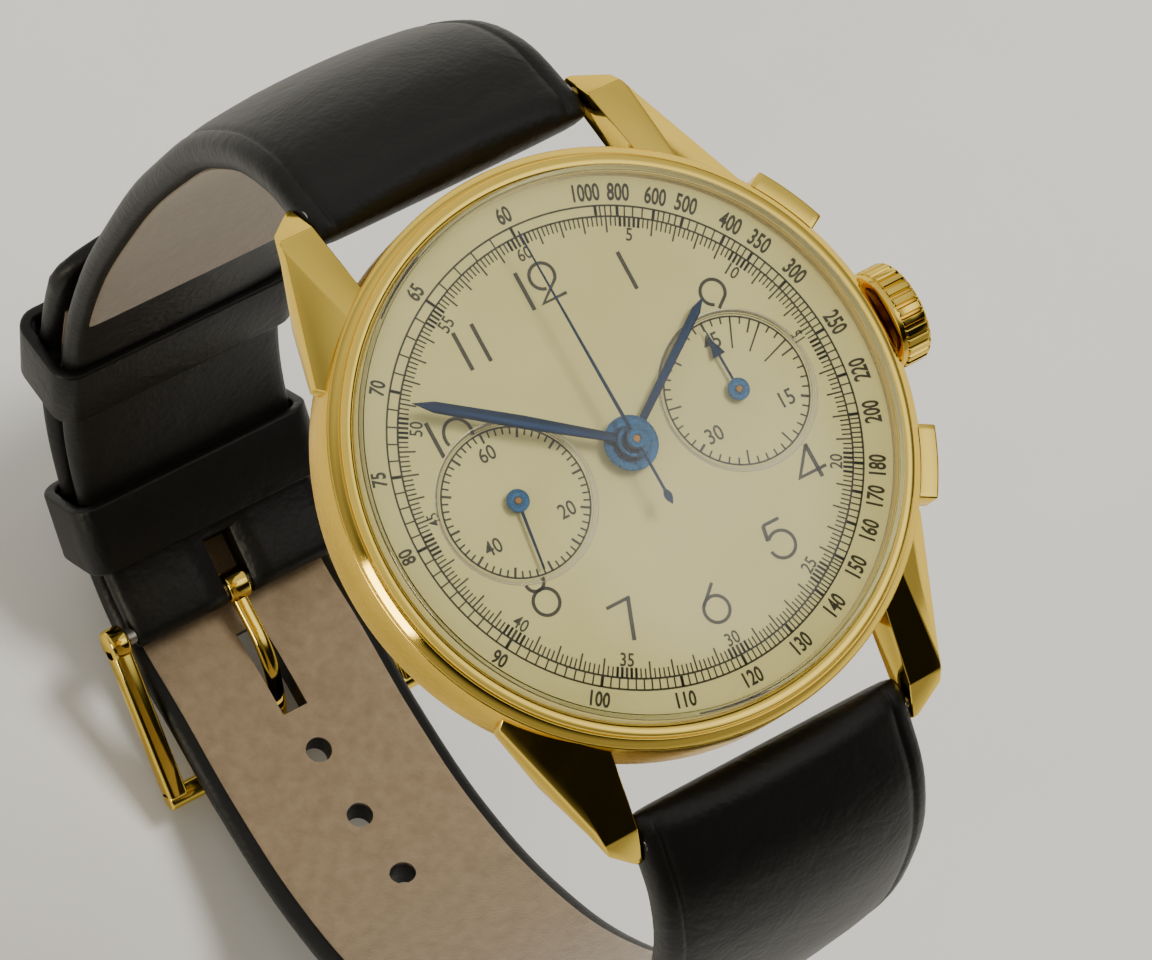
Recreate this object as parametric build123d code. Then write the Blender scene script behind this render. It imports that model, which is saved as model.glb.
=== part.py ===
from build123d import *
import os
from math import atan2, cos, degrees, hypot, pi, radians, sin

# Gold two-register chronograph wristwatch on a buckled leather strap, in millimetres.
# +X points to 3 o'clock (the crown), +Y to 12 o'clock, +Z out of the dial.
# The origin is the centre of the flat outer face of the case back.

# ---- case -------------------------------------------------------------------
CASE_RADIUS = 17.5          # polished and brushed case middle, 35 mm across
CASE_LOW = 2.3              # where the case back meets the case middle
CASE_HIGH = 6.7             # top edge of the brushed flank
MOVEMENT_BORE = 14.6        # bore that holds the movement
BACK_BORE = 16.3            # wider bore that takes the snap rim of the back
BACK_SHOULDER = 3.7         # shoulder the gasket and case screws bear on
DIAL_SEAT = 6.1             # ledge under the dial
DIAL_BORE = 16.1            # recess that takes dial and crystal
SIDE_HOLE_HEIGHT = 4.5      # height of the winding stem
TUBE_IN_WALL = 0.78         # crown tube: radius in the wall, radius outside, and the step
TUBE_OUTSIDE = 1.0
TUBE_STEP = 17.0
CROWN_X = (17.8, 19.9)      # inner and outer end of the crown, pushed in
CROWN_RADIUS = 3.05
CROWN_FLUTES = 28
STEM_END = 19.0              # where the stem meets the post inside the crown
FLUTE_RADIUS = 0.17
PUSHER_HEIGHT = 4.965       # height of the pusher stems
PUSHER_ANGLES = (28.0, -28.0)   # pushers either side of the crown, degrees
PUSHER_WIDTH = 4.4
PUSHER_TALL = 2.03
PUSHER_TRAVEL = 0.8
PUSHER_STEM = 0.6
PUSHER_CAP_INNER = 17.0
PUSHER_CAP_OUTER = 18.8
POCKET_FLOOR = 16.15
FIT = 0.05                  # radial clearance of turning and sliding shafts
SEAM = 0.02                 # clearance between parts that are pressed together

# ---- lugs and spring bars -----------------------------------------------------
LUG_INNER = 9.3             # half of the gap between a pair of lugs
LUG_TIP = 21.0              # lug-to-lug length is twice this
PIN_Y = 19.95
PIN_Z = 1.95
PIN_RADIUS = 0.75
PIVOT_RADIUS = 0.4
LUG_FLOOR = 0.3             # lowest height of the lug blank
# outline of the upper right lug from above
LUG_PLAN = (
    (LUG_INNER, 12.6), (LUG_INNER, LUG_TIP), (11.15, LUG_TIP), (11.8, 18.35), (14.4, 10.8),
    (13.2, 9.2),
)
# planes that cut its facets: a point on each and the direction that is cut away
LUG_FACETS = (
    ((0, 14.6, 6.1), (0, 0.5, 1.0)),                    # large facet beside the strap
    ((11.8, 18.35, 4.04), (12.62, 7.56, 17.83)),        # outer facet that runs to a point
    ((0, 19.3, 3.75), (0, 1.1, 1.0)),                   # end facet
    ((0, 16.0, 2.3), (0, -0.36, -1.0)),                 # underside
    ((11.8, 18.35, 2.9), (1.0, 0.35, -1.1)),            # narrow outer side
)

# ---- bezel, crystal, dial -----------------------------------------------------
BEZEL_BORE = 16.1
BEZEL_STEP = (16.92, 7.2)   # inner edge of the outer slope: radius, height
BEAD_RADIUS = 16.47         # rounded bead: middle, half width, foot and rise
BEAD_HALF = 0.37
BEAD_BASE = 7.14
BEAD_RISE = 0.42
BEAD_FACETS = 8
CRYSTAL_RADIUS = 16.05
CRYSTAL_LOW = 6.53
CRYSTAL_TOP = 10.6
CRYSTAL_WALL = 0.6
DIAL_RADIUS = 15.95
DIAL_TOP = 6.5
SUBDIAL_OFFSET = 7.45       # distance of both small dials from the centre
SUBDIAL_RADIUS = 4.5
SUBDIAL_DEPTH = 0.15

# ---- hands at rest: 1:50:51, counters as seen on a stopped chronograph --------
MINUTE_ANGLE = 305.2        # clockwise from 12 o'clock
HOUR_ANGLE = 55.4
CHRONO_ANGLE = -1.2
SMALL_SECONDS_ANGLE = 187.4
COUNTER_ANGLE = -1.5
HOUR_LENGTH = 9.8
MINUTE_LENGTH = 12.9
CHRONO_LENGTH = 13.4
CHRONO_TAIL = 4.2
SMALL_HAND_LENGTH = 4.1
HOUR_HAND_Z = (7.0, 7.16)
MINUTE_HAND_Z = (7.5, 7.66)
CHRONO_HAND_Z = (8.0, 8.12)
SMALL_HAND_Z = (6.66, 6.78)

# ---- movement -----------------------------------------------------------------
PLATE_RADIUS = 14.4
PLATE_Z = (4.7, 6.0)
BRIDGE_Z = (2.3, 2.9)
BRIDGE_RADIUS = 13.8
CHRONO_WHEEL_Z = (1.95, 2.15)
LEVER_Z = (1.5, 1.8)
TRAIN_CENTRE = (0.0, 0.0)
FOURTH_CENTRE = (-SUBDIAL_OFFSET, 0.0)
COUNTER_CENTRE = (SUBDIAL_OFFSET, 0.0)
THIRD_CENTRE = (-4.157, -2.687)
BARREL_CENTRE = (0.875, 4.963)
ESCAPE_CENTRE = (-9.183, -3.001)
PALLET_CENTRE = (-7.6, -5.7)
BALANCE_CENTRE = (-3.2, -8.8)
COUPLING_CENTRE = (-4.566, 2.157)
MINUTE_WHEEL_CENTRE = (0.0, -2.64)
COLUMN_CENTRE = (4.4, 9.4)
CENTRE_TEETH, THIRD_PINION_TEETH, CENTRE_MODULE = 80, 10, 0.11
THIRD_TEETH, FOURTH_PINION_TEETH, THIRD_MODULE = 75, 10, 0.10
FOURTH_TEETH, ESCAPE_PINION_TEETH, FOURTH_MODULE = 70, 7, 0.09
BARREL_TEETH, CENTRE_PINION_TEETH, BARREL_MODULE = 72, 12, 0.12
CANNON_TEETH, MINUTE_WHEEL_TEETH, CANNON_MODULE = 12, 36, 0.11
MINUTE_PINION_TEETH, HOUR_TEETH, HOUR_MODULE = 10, 40, 0.1056
DRIVE_TEETH, COUPLING_TEETH, RUNNER_TEETH, CHRONO_MODULE = 48, 24, 72, 0.10
ESCAPE_TEETH = 15
MAINPLATE_POSTS = ((-6.5, 10.8), (9.3, 8.6), (-12.4, 2.6), (-12.6, -2.2), (2.2, -5.9))
POST_RADIUS = 0.8
CASE_SCREW_ANGLES = (60.0, 240.0)
CASE_SCREW_REACH = 13.9
COCK_FOOT = (4.2, -11.6)
PALLET_FOOT = (-10.4, -7.2)
HAMMER_PIVOT = (9.8, -2.6)
LEVER_PIVOT = (9.2, 9.2)
CROWN_WHEEL_CENTRE = (4.1, 3.552)
PUSH_TAB_REACH = (13.15, 13.45)     # radial span of the upright tabs the pushers press

# ---- strap and buckle -----------------------------------------------------------
STRAP_TOP_HALF = 9.0        # half width at the lugs
STRAP_LOW_HALF = 8.0        # half width at the bottom of the loop
LOOP_BOTTOM = -73.0
LUG_END_HALF = 1.68         # radius of the leather wrapped round the spring bar
STRAP_FACETS = 64           # flats along each half of the strap
# centre line of the 12 o'clock half: (distance from centre, height, half thickness)
BUCKLE_SIDE_LINE = (
    (19.95, 1.95, 1.75), (23.9, -0.6, 1.75), (27.5, -7.5, 1.6), (29.2, -19.0, 1.35),
    (29.3, -32.0, 1.15), (28.3, -44.0, 1.0), (26.5, -52.0, 1.0), (23.5, -59.5, 1.0),
    (19.0, -65.3, 1.0), (14.0, -68.5, 1.0), (9.5, -69.6, 1.0),
)
# the 6 o'clock half runs under the buckle bar and back up outside the other half
TAIL_SIDE_LINE = (
    (-19.95, 1.95, 1.75), (-23.9, -0.6, 1.75), (-27.5, -7.5, 1.6), (-29.2, -19.0, 1.35),
    (-29.3, -32.0, 1.15), (-28.3, -44.0, 1.0), (-25.2, -54.5, 1.0), (-19.5, -63.0, 1.0),
    (-12.0, -68.8, 1.0), (-4.0, -71.3, 1.0), (3.0, -72.0, 1.0), (9.5, -72.75, 1.0),
    (15.1, -71.1, 1.0), (20.8, -67.3, 1.0), (25.85, -60.9, 1.0), (29.05, -52.8, 1.0),
    (30.9, -44.4, 1.0),
)
BUCKLE_Y = 9.5
BUCKLE_Z = -69.6
BUCKLE_BAR_RADIUS = 0.6
BUCKLE_FRONT_Y = -1.2
BUCKLE_FRONT_Z = -73.95
BUCKLE_WIRE = 0.75          # radius of the round front bar
BUCKLE_ARM = (8.6, 10.0)    # inner and outer face of the side arms
TAIL_HOLE_Y = (0.2, 6.6)    # slot for the tongue in the tail
# further adjustment holes: place on the centre line and slope of the strap there
TAIL_HOLES = ((-3.2, -71.4, -12.0), (-8.6, -70.2, -22.0), (-13.7, -67.9, -35.0))
TONGUE_HALF = 0.55
# lower outline of the tongue, from the bar through the strap to the front bar
TONGUE_LINE = ((8.6, -70.0), (4.4, -70.6), (1.6, -73.1), (-0.3, -75.4), (-2.3, -75.5))
TONGUE_THICK = 0.42
# keepers: centre between the two strap layers, and slope of the strap there
FIXED_KEEPER = (17.32, -68.24, 32.0)
SLIDING_KEEPER = (26.51, -56.97, 65.0)
KEEPER_HALF_WIDTH = 8.75
KEEPER_HALF_HEIGHT = 2.9
KEEPER_WALL = 0.8
KEEPER_LENGTH = 5.0


# ---- small helpers ---------------------------------------------------------------
def disc(radius, z_span, centre=(0.0, 0.0)):
    """Upright cylinder between two heights."""
    low, high = z_span
    base = Align.CENTER, Align.CENTER, Align.MIN
    return Pos(centre[0], centre[1], low) * Cylinder(radius, high - low, align=base)


def ring(outer, inner, z_span, centre=(0.0, 0.0)):
    """Upright tube between two heights."""
    low, high = z_span
    return disc(outer, z_span, centre) - disc(inner, (low - 1.0, high + 1.0), centre)


def slab(points, z_span):
    """Flat plate with a polygon outline."""
    low, high = z_span
    face = make_face(Polyline([(x, y) for x, y in points], close=True))
    return Pos(0, 0, low) * extrude(face, high - low)


def lathe(points, centre=(0.0, 0.0)):
    """Solid of revolution about an upright axis from (radius, height) points."""
    face = make_face(Polyline([(r, 0, z) for r, z in points], close=True))
    return Pos(centre[0], centre[1], 0) * revolve(face, Axis.Z)


def link(start, end, width, z_span):
    """Flat bar with round ends between two points."""
    run = hypot(end[0] - start[0], end[1] - start[1])
    angle = degrees(atan2(end[1] - start[1], end[0] - start[0]))
    low, high = z_span
    bar = Box(run, width, high - low, align=(Align.MIN, Align.CENTER, Align.MIN))
    bar = Pos(start[0], start[1], low) * (Rot(0, 0, angle) * bar)
    return bar + disc(width / 2, z_span, start) + disc(width / 2, z_span, end)


def across(radius, x_span, y=0.0, z=0.0):
    """Cylinder lying along X."""
    low, high = x_span
    rod = Cylinder(radius, high - low, align=(Align.CENTER, Align.CENTER, Align.MIN))
    return Pos(low, y, z) * (Rot(0, 90, 0) * rod)


def keep_below(shape, point, normal):
    """Cut away the part of a shape on the normal side of a plane."""
    block = Box(80, 80, 40, align=(Align.CENTER, Align.CENTER, Align.MIN))
    return shape - Plane(origin=point, z_dir=normal) * block


def clockwise(angle):
    """Turn that sends a hand drawn towards 12 o'clock to a clock angle."""
    return Rot(0, 0, -angle)


def gear(teeth, module, z_span, centre, phase=0.0):
    """Spur wheel with slim teeth; one tooth points along phase (degrees)."""
    pitch_radius = teeth * module / 2
    tip = pitch_radius + 0.8 * module
    root = pitch_radius - 1.1 * module
    step = 2 * pi / teeth
    profile = ((-0.24, root), (-0.10, tip), (0.10, tip), (0.24, root))
    points = []
    for index in range(teeth):
        middle = radians(phase) + index * step
        for share, radius in profile:
            angle = middle + share * step
            points.append((centre[0] + radius * cos(angle), centre[1] + radius * sin(angle)))
    return slab(points, z_span)


def meshed_phase(phase, teeth, centre, other_teeth, other_centre):
    """Phase that puts a gap of the other wheel on the nearest tooth of this one."""
    toward = degrees(atan2(other_centre[1] - centre[1], other_centre[0] - centre[0]))
    lead = (phase - toward) * teeth / other_teeth
    return toward + 180.0 - lead + 180.0 / other_teeth


def spoked(wheel, centre, rim, hub, width, z_span):
    """Open a wheel between hub and rim, leaving four crossings."""
    low, high = z_span
    window = ring(rim, hub, (low - 0.1, high + 0.1), centre)
    arms = Pos(*centre, low) * Box(2 * rim + 1, width, high - low + 1)
    arms += Pos(*centre, low) * Box(width, 2 * rim + 1, high - low + 1)
    return wheel - (window - arms)


def mirrored_lug(lug, side_x, side_y):
    """Copy the lug drawn for the upper right corner to another corner."""
    if side_x < 0:
        lug = mirror(lug, about=Plane.YZ)
    if side_y < 0:
        lug = mirror(lug, about=Plane.XZ)
    return lug


# ---- case ------------------------------------------------------------------------
def lug_blank():
    """Faceted lug of the upper right corner, before it is joined to the case."""
    lug = slab(LUG_PLAN, (LUG_FLOOR, CASE_HIGH - 0.05))
    for point, normal in LUG_FACETS:
        lug = keep_below(lug, point, normal)
    block = Box(60, 1.2, 1.0, align=(Align.CENTER, Align.MIN, Align.MAX))
    tip_corner = Pos(0, LUG_TIP - 0.45, 0.9) * block
    return lug - tip_corner


def side_openings():
    """Stem bore, pusher pockets and pusher bores through the case wall."""
    cuts = across(TUBE_IN_WALL, (13.0, TUBE_STEP), 0, SIDE_HOLE_HEIGHT)
    cuts += across(TUBE_OUTSIDE, (TUBE_STEP, 19.0), 0, SIDE_HOLE_HEIGHT)
    for angle in PUSHER_ANGLES:
        pocket_deep = 19.0 - POCKET_FLOOR
        pocket = Box(pocket_deep, PUSHER_WIDTH + 0.14, PUSHER_TALL + 0.14,
                     align=(Align.MIN, Align.CENTER, Align.CENTER))
        pocket = Pos(POCKET_FLOOR, 0, PUSHER_HEIGHT) * pocket
        cuts += Rot(0, 0, angle) * (pocket + across(0.95, (13.0, 17.0), 0, PUSHER_HEIGHT))
    return cuts


def case_middle():
    """Case middle with its four lugs, one piece of gold."""
    profile = (
        (MOVEMENT_BORE, BACK_SHOULDER), (BACK_BORE, BACK_SHOULDER), (BACK_BORE, CASE_LOW),
        (CASE_RADIUS - 0.25, CASE_LOW), (CASE_RADIUS, CASE_LOW + 0.35),
        (CASE_RADIUS, CASE_HIGH - 0.08), (CASE_RADIUS - 0.08, CASE_HIGH),
        (DIAL_BORE, CASE_HIGH), (DIAL_BORE, DIAL_SEAT), (MOVEMENT_BORE, DIAL_SEAT),
    )
    body = lathe(profile)
    blank = lug_blank() - disc(BACK_BORE + 0.4, (-1.0, 9.0))
    for side_x in (1, -1):
        for side_y in (1, -1):
            body += mirrored_lug(blank, side_x, side_y)
    for side_y in (1, -1):
        body -= across(PIVOT_RADIUS + SEAM, (-10.4, 10.4), side_y * PIN_Y, PIN_Z)
    return body - side_openings()


def bezel():
    """Polished ring: outer slope, step and rounded inner bead."""
    edge = CASE_RADIUS - 0.1
    profile = [(BEZEL_BORE, CASE_HIGH), (edge, CASE_HIGH), (edge, CASE_HIGH + 0.08), BEZEL_STEP]
    for index in range(BEAD_FACETS + 1):
        angle = pi * index / BEAD_FACETS
        radius = BEAD_RADIUS + BEAD_HALF * cos(angle)
        profile.append((radius, BEAD_BASE + BEAD_RISE * sin(angle)))
    return lathe(profile)


def crystal():
    """Domed acrylic crystal with a tall edge."""
    edge = CRYSTAL_RADIUS
    inner = edge - CRYSTAL_WALL
    outline = Polyline((inner, 0, CRYSTAL_LOW), (edge, 0, CRYSTAL_LOW), (edge, 0, 8.0),
                       (edge - 0.15, 0, 8.2))
    outline += Spline((edge - 0.15, 0, 8.2), (14.6, 0, 8.93), (12.6, 0, 9.56), (9.4, 0, 10.15),
                      (5.0, 0, 10.5), (0, 0, CRYSTAL_TOP))
    outline += Line((0, 0, CRYSTAL_TOP), (0, 0, 10.0))
    outline += Spline((0, 0, 10.0), (5.0, 0, 9.9), (9.3, 0, 9.56), (12.4, 0, 8.99),
                      (14.3, 0, 8.4), (inner - 0.15, 0, 7.82))
    outline += Polyline((inner - 0.15, 0, 7.82), (inner, 0, 7.6), (inner, 0, CRYSTAL_LOW))
    return revolve(make_face(outline), Axis.Z)


def case_back():
    """Snap back: flat centre, rounded edge and snap rim."""
    profile = (
        (0, 0), (12.6, 0), (14.6, 0.35), (16.2, 1.1), (17.0, CASE_LOW - SEAM),
        (BACK_BORE - FIT, CASE_LOW - SEAM), (BACK_BORE - FIT, 3.3), (15.3, 3.3),
        (15.3, 2.2), (13.9, 1.0), (0, 1.0),
    )
    return lathe(profile)


def case_back_gasket():
    """Flat sealing ring between the snap rim and the shoulder."""
    return ring(16.2, 15.4, (3.3 + SEAM, BACK_SHOULDER))


def dial():
    """Dial plate with sunk small dials and holes for five arbors."""
    plate = disc(DIAL_RADIUS, (DIAL_SEAT, DIAL_TOP)) - disc(1.25, (6.0, 7.0))
    for x, arbor in ((FOURTH_CENTRE[0], 0.35), (COUNTER_CENTRE[0], 0.35)):
        plate -= disc(SUBDIAL_RADIUS, (DIAL_TOP - SUBDIAL_DEPTH, 7.0), (x, 0))
        plate -= disc(SUBDIAL_RADIUS + 0.16, (DIAL_TOP - SUBDIAL_DEPTH / 2, 7.0), (x, 0))
        plate -= disc(arbor, (6.0, 7.0), (x, 0))
    return plate


# ---- crown and pushers -------------------------------------------------------------
def crown():
    """Fluted winding crown with a domed face and a recess over its tube."""
    low, high = CROWN_X
    radius = CROWN_RADIUS
    profile = [(0, low), (radius - 0.22, low), (radius, low + 0.25), (radius, high - 0.35),
               (radius - 0.25, high - 0.12), (1.6, high - 0.02), (0, high)]
    body = lathe(profile)
    for index in range(CROWN_FLUTES):
        angle = 2 * pi * index / CROWN_FLUTES
        spot = (radius * cos(angle) * 1.015, radius * sin(angle) * 1.015)
        body -= disc(FLUTE_RADIUS, (low - 1, high + 1), spot)
    body -= disc(2.3, (low - 1, low + 0.5))
    body -= disc(1.3, (low - 1, high - 0.6))
    body += disc(0.5, (STEM_END, high - 0.3))
    return Pos(0, 0, SIDE_HOLE_HEIGHT) * (Rot(0, 90, 0) * body)


def crown_gasket():
    """Rubber ring inside the crown, it slides with the crown on the tube."""
    body = ring(1.3 - SEAM, 1.05, (18.35, 18.75))
    return Pos(0, 0, SIDE_HOLE_HEIGHT) * (Rot(0, 90, 0) * body)


def crown_tube():
    """Tube pressed into the case wall for the stem."""
    body = ring(TUBE_IN_WALL, 0.5, (14.8, TUBE_STEP))
    body += ring(TUBE_OUTSIDE, 0.5, (TUBE_STEP, 19.0))
    return Pos(0, 0, SIDE_HOLE_HEIGHT) * (Rot(0, 90, 0) * body)


def winding_stem():
    """Stem with its square, running from the crown into the movement."""
    rod = across(0.45, (11.7, STEM_END), 0, SIDE_HOLE_HEIGHT)
    rod += across(0.35, (9.4, 11.7), 0, SIDE_HOLE_HEIGHT)
    groove = across(0.6, (13.3, 13.7), 0, SIDE_HOLE_HEIGHT)
    return rod - (groove - across(0.3, (13.2, 13.8), 0, SIDE_HOLE_HEIGHT))


def sliding_pinion():
    """Toothed clutch wheel on the square of the stem."""
    body = gear(16, 0.14, (9.9, 11.0), (0, 0)) - disc(0.35, (9, 12))
    return Pos(0, 0, SIDE_HOLE_HEIGHT) * (Rot(0, 90, 0) * body)


def pusher(angle):
    """Rectangular chronograph pusher with its stem, face concentric with the case."""
    deep = 20.0 - PUSHER_CAP_INNER
    cap = Box(deep, PUSHER_WIDTH, PUSHER_TALL, align=(Align.MIN, Align.CENTER, Align.CENTER))
    cap = Pos(PUSHER_CAP_INNER, 0, PUSHER_HEIGHT) * cap
    cap &= disc(PUSHER_CAP_OUTER, (0, 10))
    cap = chamfer(cap.faces().sort_by(Axis.X)[-1].edges(), 0.14)
    stem = across(PUSHER_STEM, (14.0, PUSHER_CAP_INNER), 0, PUSHER_HEIGHT)
    return Rot(0, 0, angle) * (cap + stem)


def pusher_tube(angle):
    """Bushing in the case wall that guides a pusher stem."""
    tube = Rot(0, 90, 0) * ring(0.95, PUSHER_STEM + FIT, (14.7, 15.9))
    return Rot(0, 0, angle) * (Pos(0, 0, PUSHER_HEIGHT) * tube)


# ---- strap and buckle ----------------------------------------------------------------
def strap_band(line):
    """Padded strap body from a centre line with half thicknesses."""
    spine = Spline([(0, y, z) for y, z, _ in line])
    outer, inner = [], []
    lengths = [0.0]
    for before, after in zip(line, line[1:]):
        lengths.append(lengths[-1] + hypot(after[0] - before[0], after[1] - before[1]))
    for index in range(STRAP_FACETS + 1):
        share = index / STRAP_FACETS
        reach = share * lengths[-1]
        slot = max(i for i in range(len(line) - 1) if lengths[i] <= reach)
        blend = (reach - lengths[slot]) / (lengths[slot + 1] - lengths[slot])
        half = line[slot][2] + (line[slot + 1][2] - line[slot][2]) * blend
        place, heading = spine @ share, spine % share
        side = Vector(0, -heading.Z, heading.Y) * half
        outer.append(place + side)
        inner.append(place - side)
    outline = make_face(Polyline(outer + inner[::-1], close=True))
    return extrude(outline, 12, dir=(1, 0, 0), both=True) & strap_width_wedge()


def strap_width_wedge():
    """Block that narrows from the lugs to the bottom of the loop."""
    top, low = 8.0, LOOP_BOTTOM - 4.0
    outline = Polyline((-STRAP_TOP_HALF, 0, top), (STRAP_TOP_HALF, 0, top),
                       (STRAP_LOW_HALF, 0, low), (-STRAP_LOW_HALF, 0, low), close=True)
    return extrude(make_face(outline), 45, dir=(0, 1, 0), both=True)


def strap_buckle_side():
    """12 o'clock half of the strap, looped round its spring bar and the buckle bar."""
    band = strap_band(BUCKLE_SIDE_LINE)
    band += across(LUG_END_HALF, (-STRAP_TOP_HALF, STRAP_TOP_HALF), PIN_Y, PIN_Z)
    band += across(1.55, (-8.05, 8.05), BUCKLE_Y, BUCKLE_Z)
    band -= across(PIN_RADIUS + FIT, (-12, 12), PIN_Y, PIN_Z)
    band -= across(BUCKLE_BAR_RADIUS + FIT, (-12, 12), BUCKLE_Y, BUCKLE_Z)
    tongue_slot = Pos(0, BUCKLE_Y, BUCKLE_Z) * Box(2.1, 7.0, 8.0)
    return band - tongue_slot


def strap_tail_side():
    """6 o'clock half of the strap with its adjustment holes and tongue slot."""
    band = strap_band(TAIL_SIDE_LINE)
    band += across(LUG_END_HALF, (-STRAP_TOP_HALF, STRAP_TOP_HALF), -PIN_Y, PIN_Z)
    band -= across(PIN_RADIUS + FIT, (-12, 12), -PIN_Y, PIN_Z)
    low, high = TAIL_HOLE_Y
    slot = Box(1.9, high - low, 8.0, align=(Align.CENTER, Align.MIN, Align.CENTER))
    band -= Pos(0, low, LOOP_BOTTOM) * slot
    for y, z, slope in TAIL_HOLES:
        band -= Pos(0, y, z) * (Rot(slope, 0, 0) * Cylinder(0.9, 6.0))
    return band


def spring_bar(side):
    """Telescopic pin between a pair of lugs."""
    y = side * PIN_Y
    bar = across(PIN_RADIUS, (-9.0, 9.0), y, PIN_Z)
    return bar + across(PIVOT_RADIUS, (-10.3, 10.3), y, PIN_Z)


def keeper(place):
    """Leather loop round both strap layers."""
    y, z, slope = place
    width = 2 * (KEEPER_HALF_WIDTH + KEEPER_WALL)
    height = 2 * (KEEPER_HALF_HEIGHT + KEEPER_WALL)
    outer = Box(width, KEEPER_LENGTH, height)
    outer = fillet(outer.edges().filter_by(Axis.Y), 0.7)
    inner = Box(2 * KEEPER_HALF_WIDTH, KEEPER_LENGTH + 1, 2 * KEEPER_HALF_HEIGHT)
    return Pos(0, y, z) * (Rot(slope, 0, 0) * (outer - inner))


def buckle_frame():
    """Gold buckle: two side arms and a rounded front bar."""
    inner, outer = BUCKLE_ARM
    front = across(BUCKLE_WIRE, (-outer, outer), BUCKLE_FRONT_Y, BUCKLE_FRONT_Z)
    run = hypot(BUCKLE_Y - BUCKLE_FRONT_Y, BUCKLE_Z - BUCKLE_FRONT_Z)
    slope = degrees(atan2(BUCKLE_Z - BUCKLE_FRONT_Z, BUCKLE_Y - BUCKLE_FRONT_Y))
    body = front
    for side in (1, -1):
        arm = Box(outer - inner, run, 1.6, align=(Align.CENTER, Align.MIN, Align.CENTER))
        middle = side * (inner + outer) / 2
        body += Pos(middle, BUCKLE_FRONT_Y, BUCKLE_FRONT_Z) * (Rot(slope, 0, 0) * arm)
        eye = (inner, outer) if side > 0 else (-outer, -inner)
        body += across(1.15, eye, BUCKLE_Y, BUCKLE_Z)
    body -= across(0.45, (-outer + 0.3, outer - 0.3), BUCKLE_Y, BUCKLE_Z)
    return body


def buckle_bar():
    """Spring bar that the strap end and the tongue turn on."""
    bar = across(BUCKLE_BAR_RADIUS, (-8.45, 8.45), BUCKLE_Y, BUCKLE_Z)
    return bar + across(0.4, (-9.6, 9.6), BUCKLE_Y, BUCKLE_Z)


def buckle_tongue():
    """Tongue from the bar, through the strap, onto the front bar."""
    upper = [(0, y, z + TONGUE_THICK) for y, z in TONGUE_LINE]
    lower = [(0, y, z - TONGUE_THICK) for y, z in TONGUE_LINE]
    outline = make_face(Polyline(upper + lower[::-1], close=True))
    blade = extrude(outline, TONGUE_HALF, dir=(1, 0, 0), both=True)
    eye = across(1.1, (-0.8, 0.8), BUCKLE_Y, BUCKLE_Z)
    return blade + eye - across(BUCKLE_BAR_RADIUS + FIT, (-2, 2), BUCKLE_Y, BUCKLE_Z)


# ---- hands -------------------------------------------------------------------------
def hour_hand():
    """Baton hour hand."""
    outline = ((-0.30, 1.0), (-0.34, 8.9), (0.0, HOUR_LENGTH), (0.34, 8.9), (0.30, 1.0))
    blade = slab(outline, HOUR_HAND_Z)
    return clockwise(HOUR_ANGLE) * (blade + disc(1.62, HOUR_HAND_Z) - disc(0.98, (6, 8)))


def minute_hand():
    """Baton minute hand, pointed."""
    blade = slab(((-0.26, 0.7), (-0.40, 6.5), (-0.34, 11.6), (0.0, MINUTE_LENGTH),
                  (0.34, 11.6), (0.40, 6.5), (0.26, 0.7)), MINUTE_HAND_Z)
    return clockwise(MINUTE_ANGLE) * (blade + disc(0.95, MINUTE_HAND_Z) - disc(0.62, (7, 8)))


def chrono_hand():
    """Thin centre seconds hand with a lozenge on its tail."""
    outline = ((-0.12, 0.3), (-0.05, CHRONO_LENGTH), (0.05, CHRONO_LENGTH), (0.12, 0.3))
    blade = slab(outline, CHRONO_HAND_Z)
    tail = slab(((-0.09, -0.3), (0.09, -0.3), (0.09, -3.4), (0.27, -3.65), (0.0, -CHRONO_TAIL),
                 (-0.27, -3.65), (-0.09, -3.4)), CHRONO_HAND_Z)
    body = blade + tail + disc(0.58, (CHRONO_HAND_Z[0], 8.3)) - disc(0.22, (7, 9))
    return clockwise(CHRONO_ANGLE) * body


def small_seconds_hand():
    """Plain stick hand of the running seconds."""
    outline = ((-0.10, 0.4), (-0.07, SMALL_HAND_LENGTH), (0.07, SMALL_HAND_LENGTH), (0.10, 0.4))
    blade = slab(outline, SMALL_HAND_Z)
    body = blade + disc(0.68, SMALL_HAND_Z) - disc(0.2, (6, 8))
    return Pos(*FOURTH_CENTRE, 0) * (clockwise(SMALL_SECONDS_ANGLE) * body)


def counter_hand():
    """Arrow hand of the minute counter."""
    blade = slab(((-0.08, 0.4), (-0.08, 2.2), (-0.42, 2.2), (-0.09, 3.1), (0.0, SMALL_HAND_LENGTH),
                  (0.09, 3.1), (0.42, 2.2), (0.08, 2.2), (0.08, 0.4)), SMALL_HAND_Z)
    body = blade + disc(0.66, SMALL_HAND_Z) - disc(0.2, (6, 8))
    return Pos(*COUNTER_CENTRE, 0) * (clockwise(COUNTER_ANGLE) * body)


# ---- movement: plate and bridges -------------------------------------------------------
def push_slots(z_span):
    """Radial cuts that let the pusher stems and lever tabs through a plate."""
    low, high = z_span
    cuts = Part()
    for angle in PUSHER_ANGLES:
        slot = Box(3.0, 2.6, high - low + 2, align=(Align.MIN, Align.CENTER, Align.MIN))
        cuts += Rot(0, 0, angle) * (Pos(12.4, 0, low - 1) * slot)
    return cuts


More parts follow.
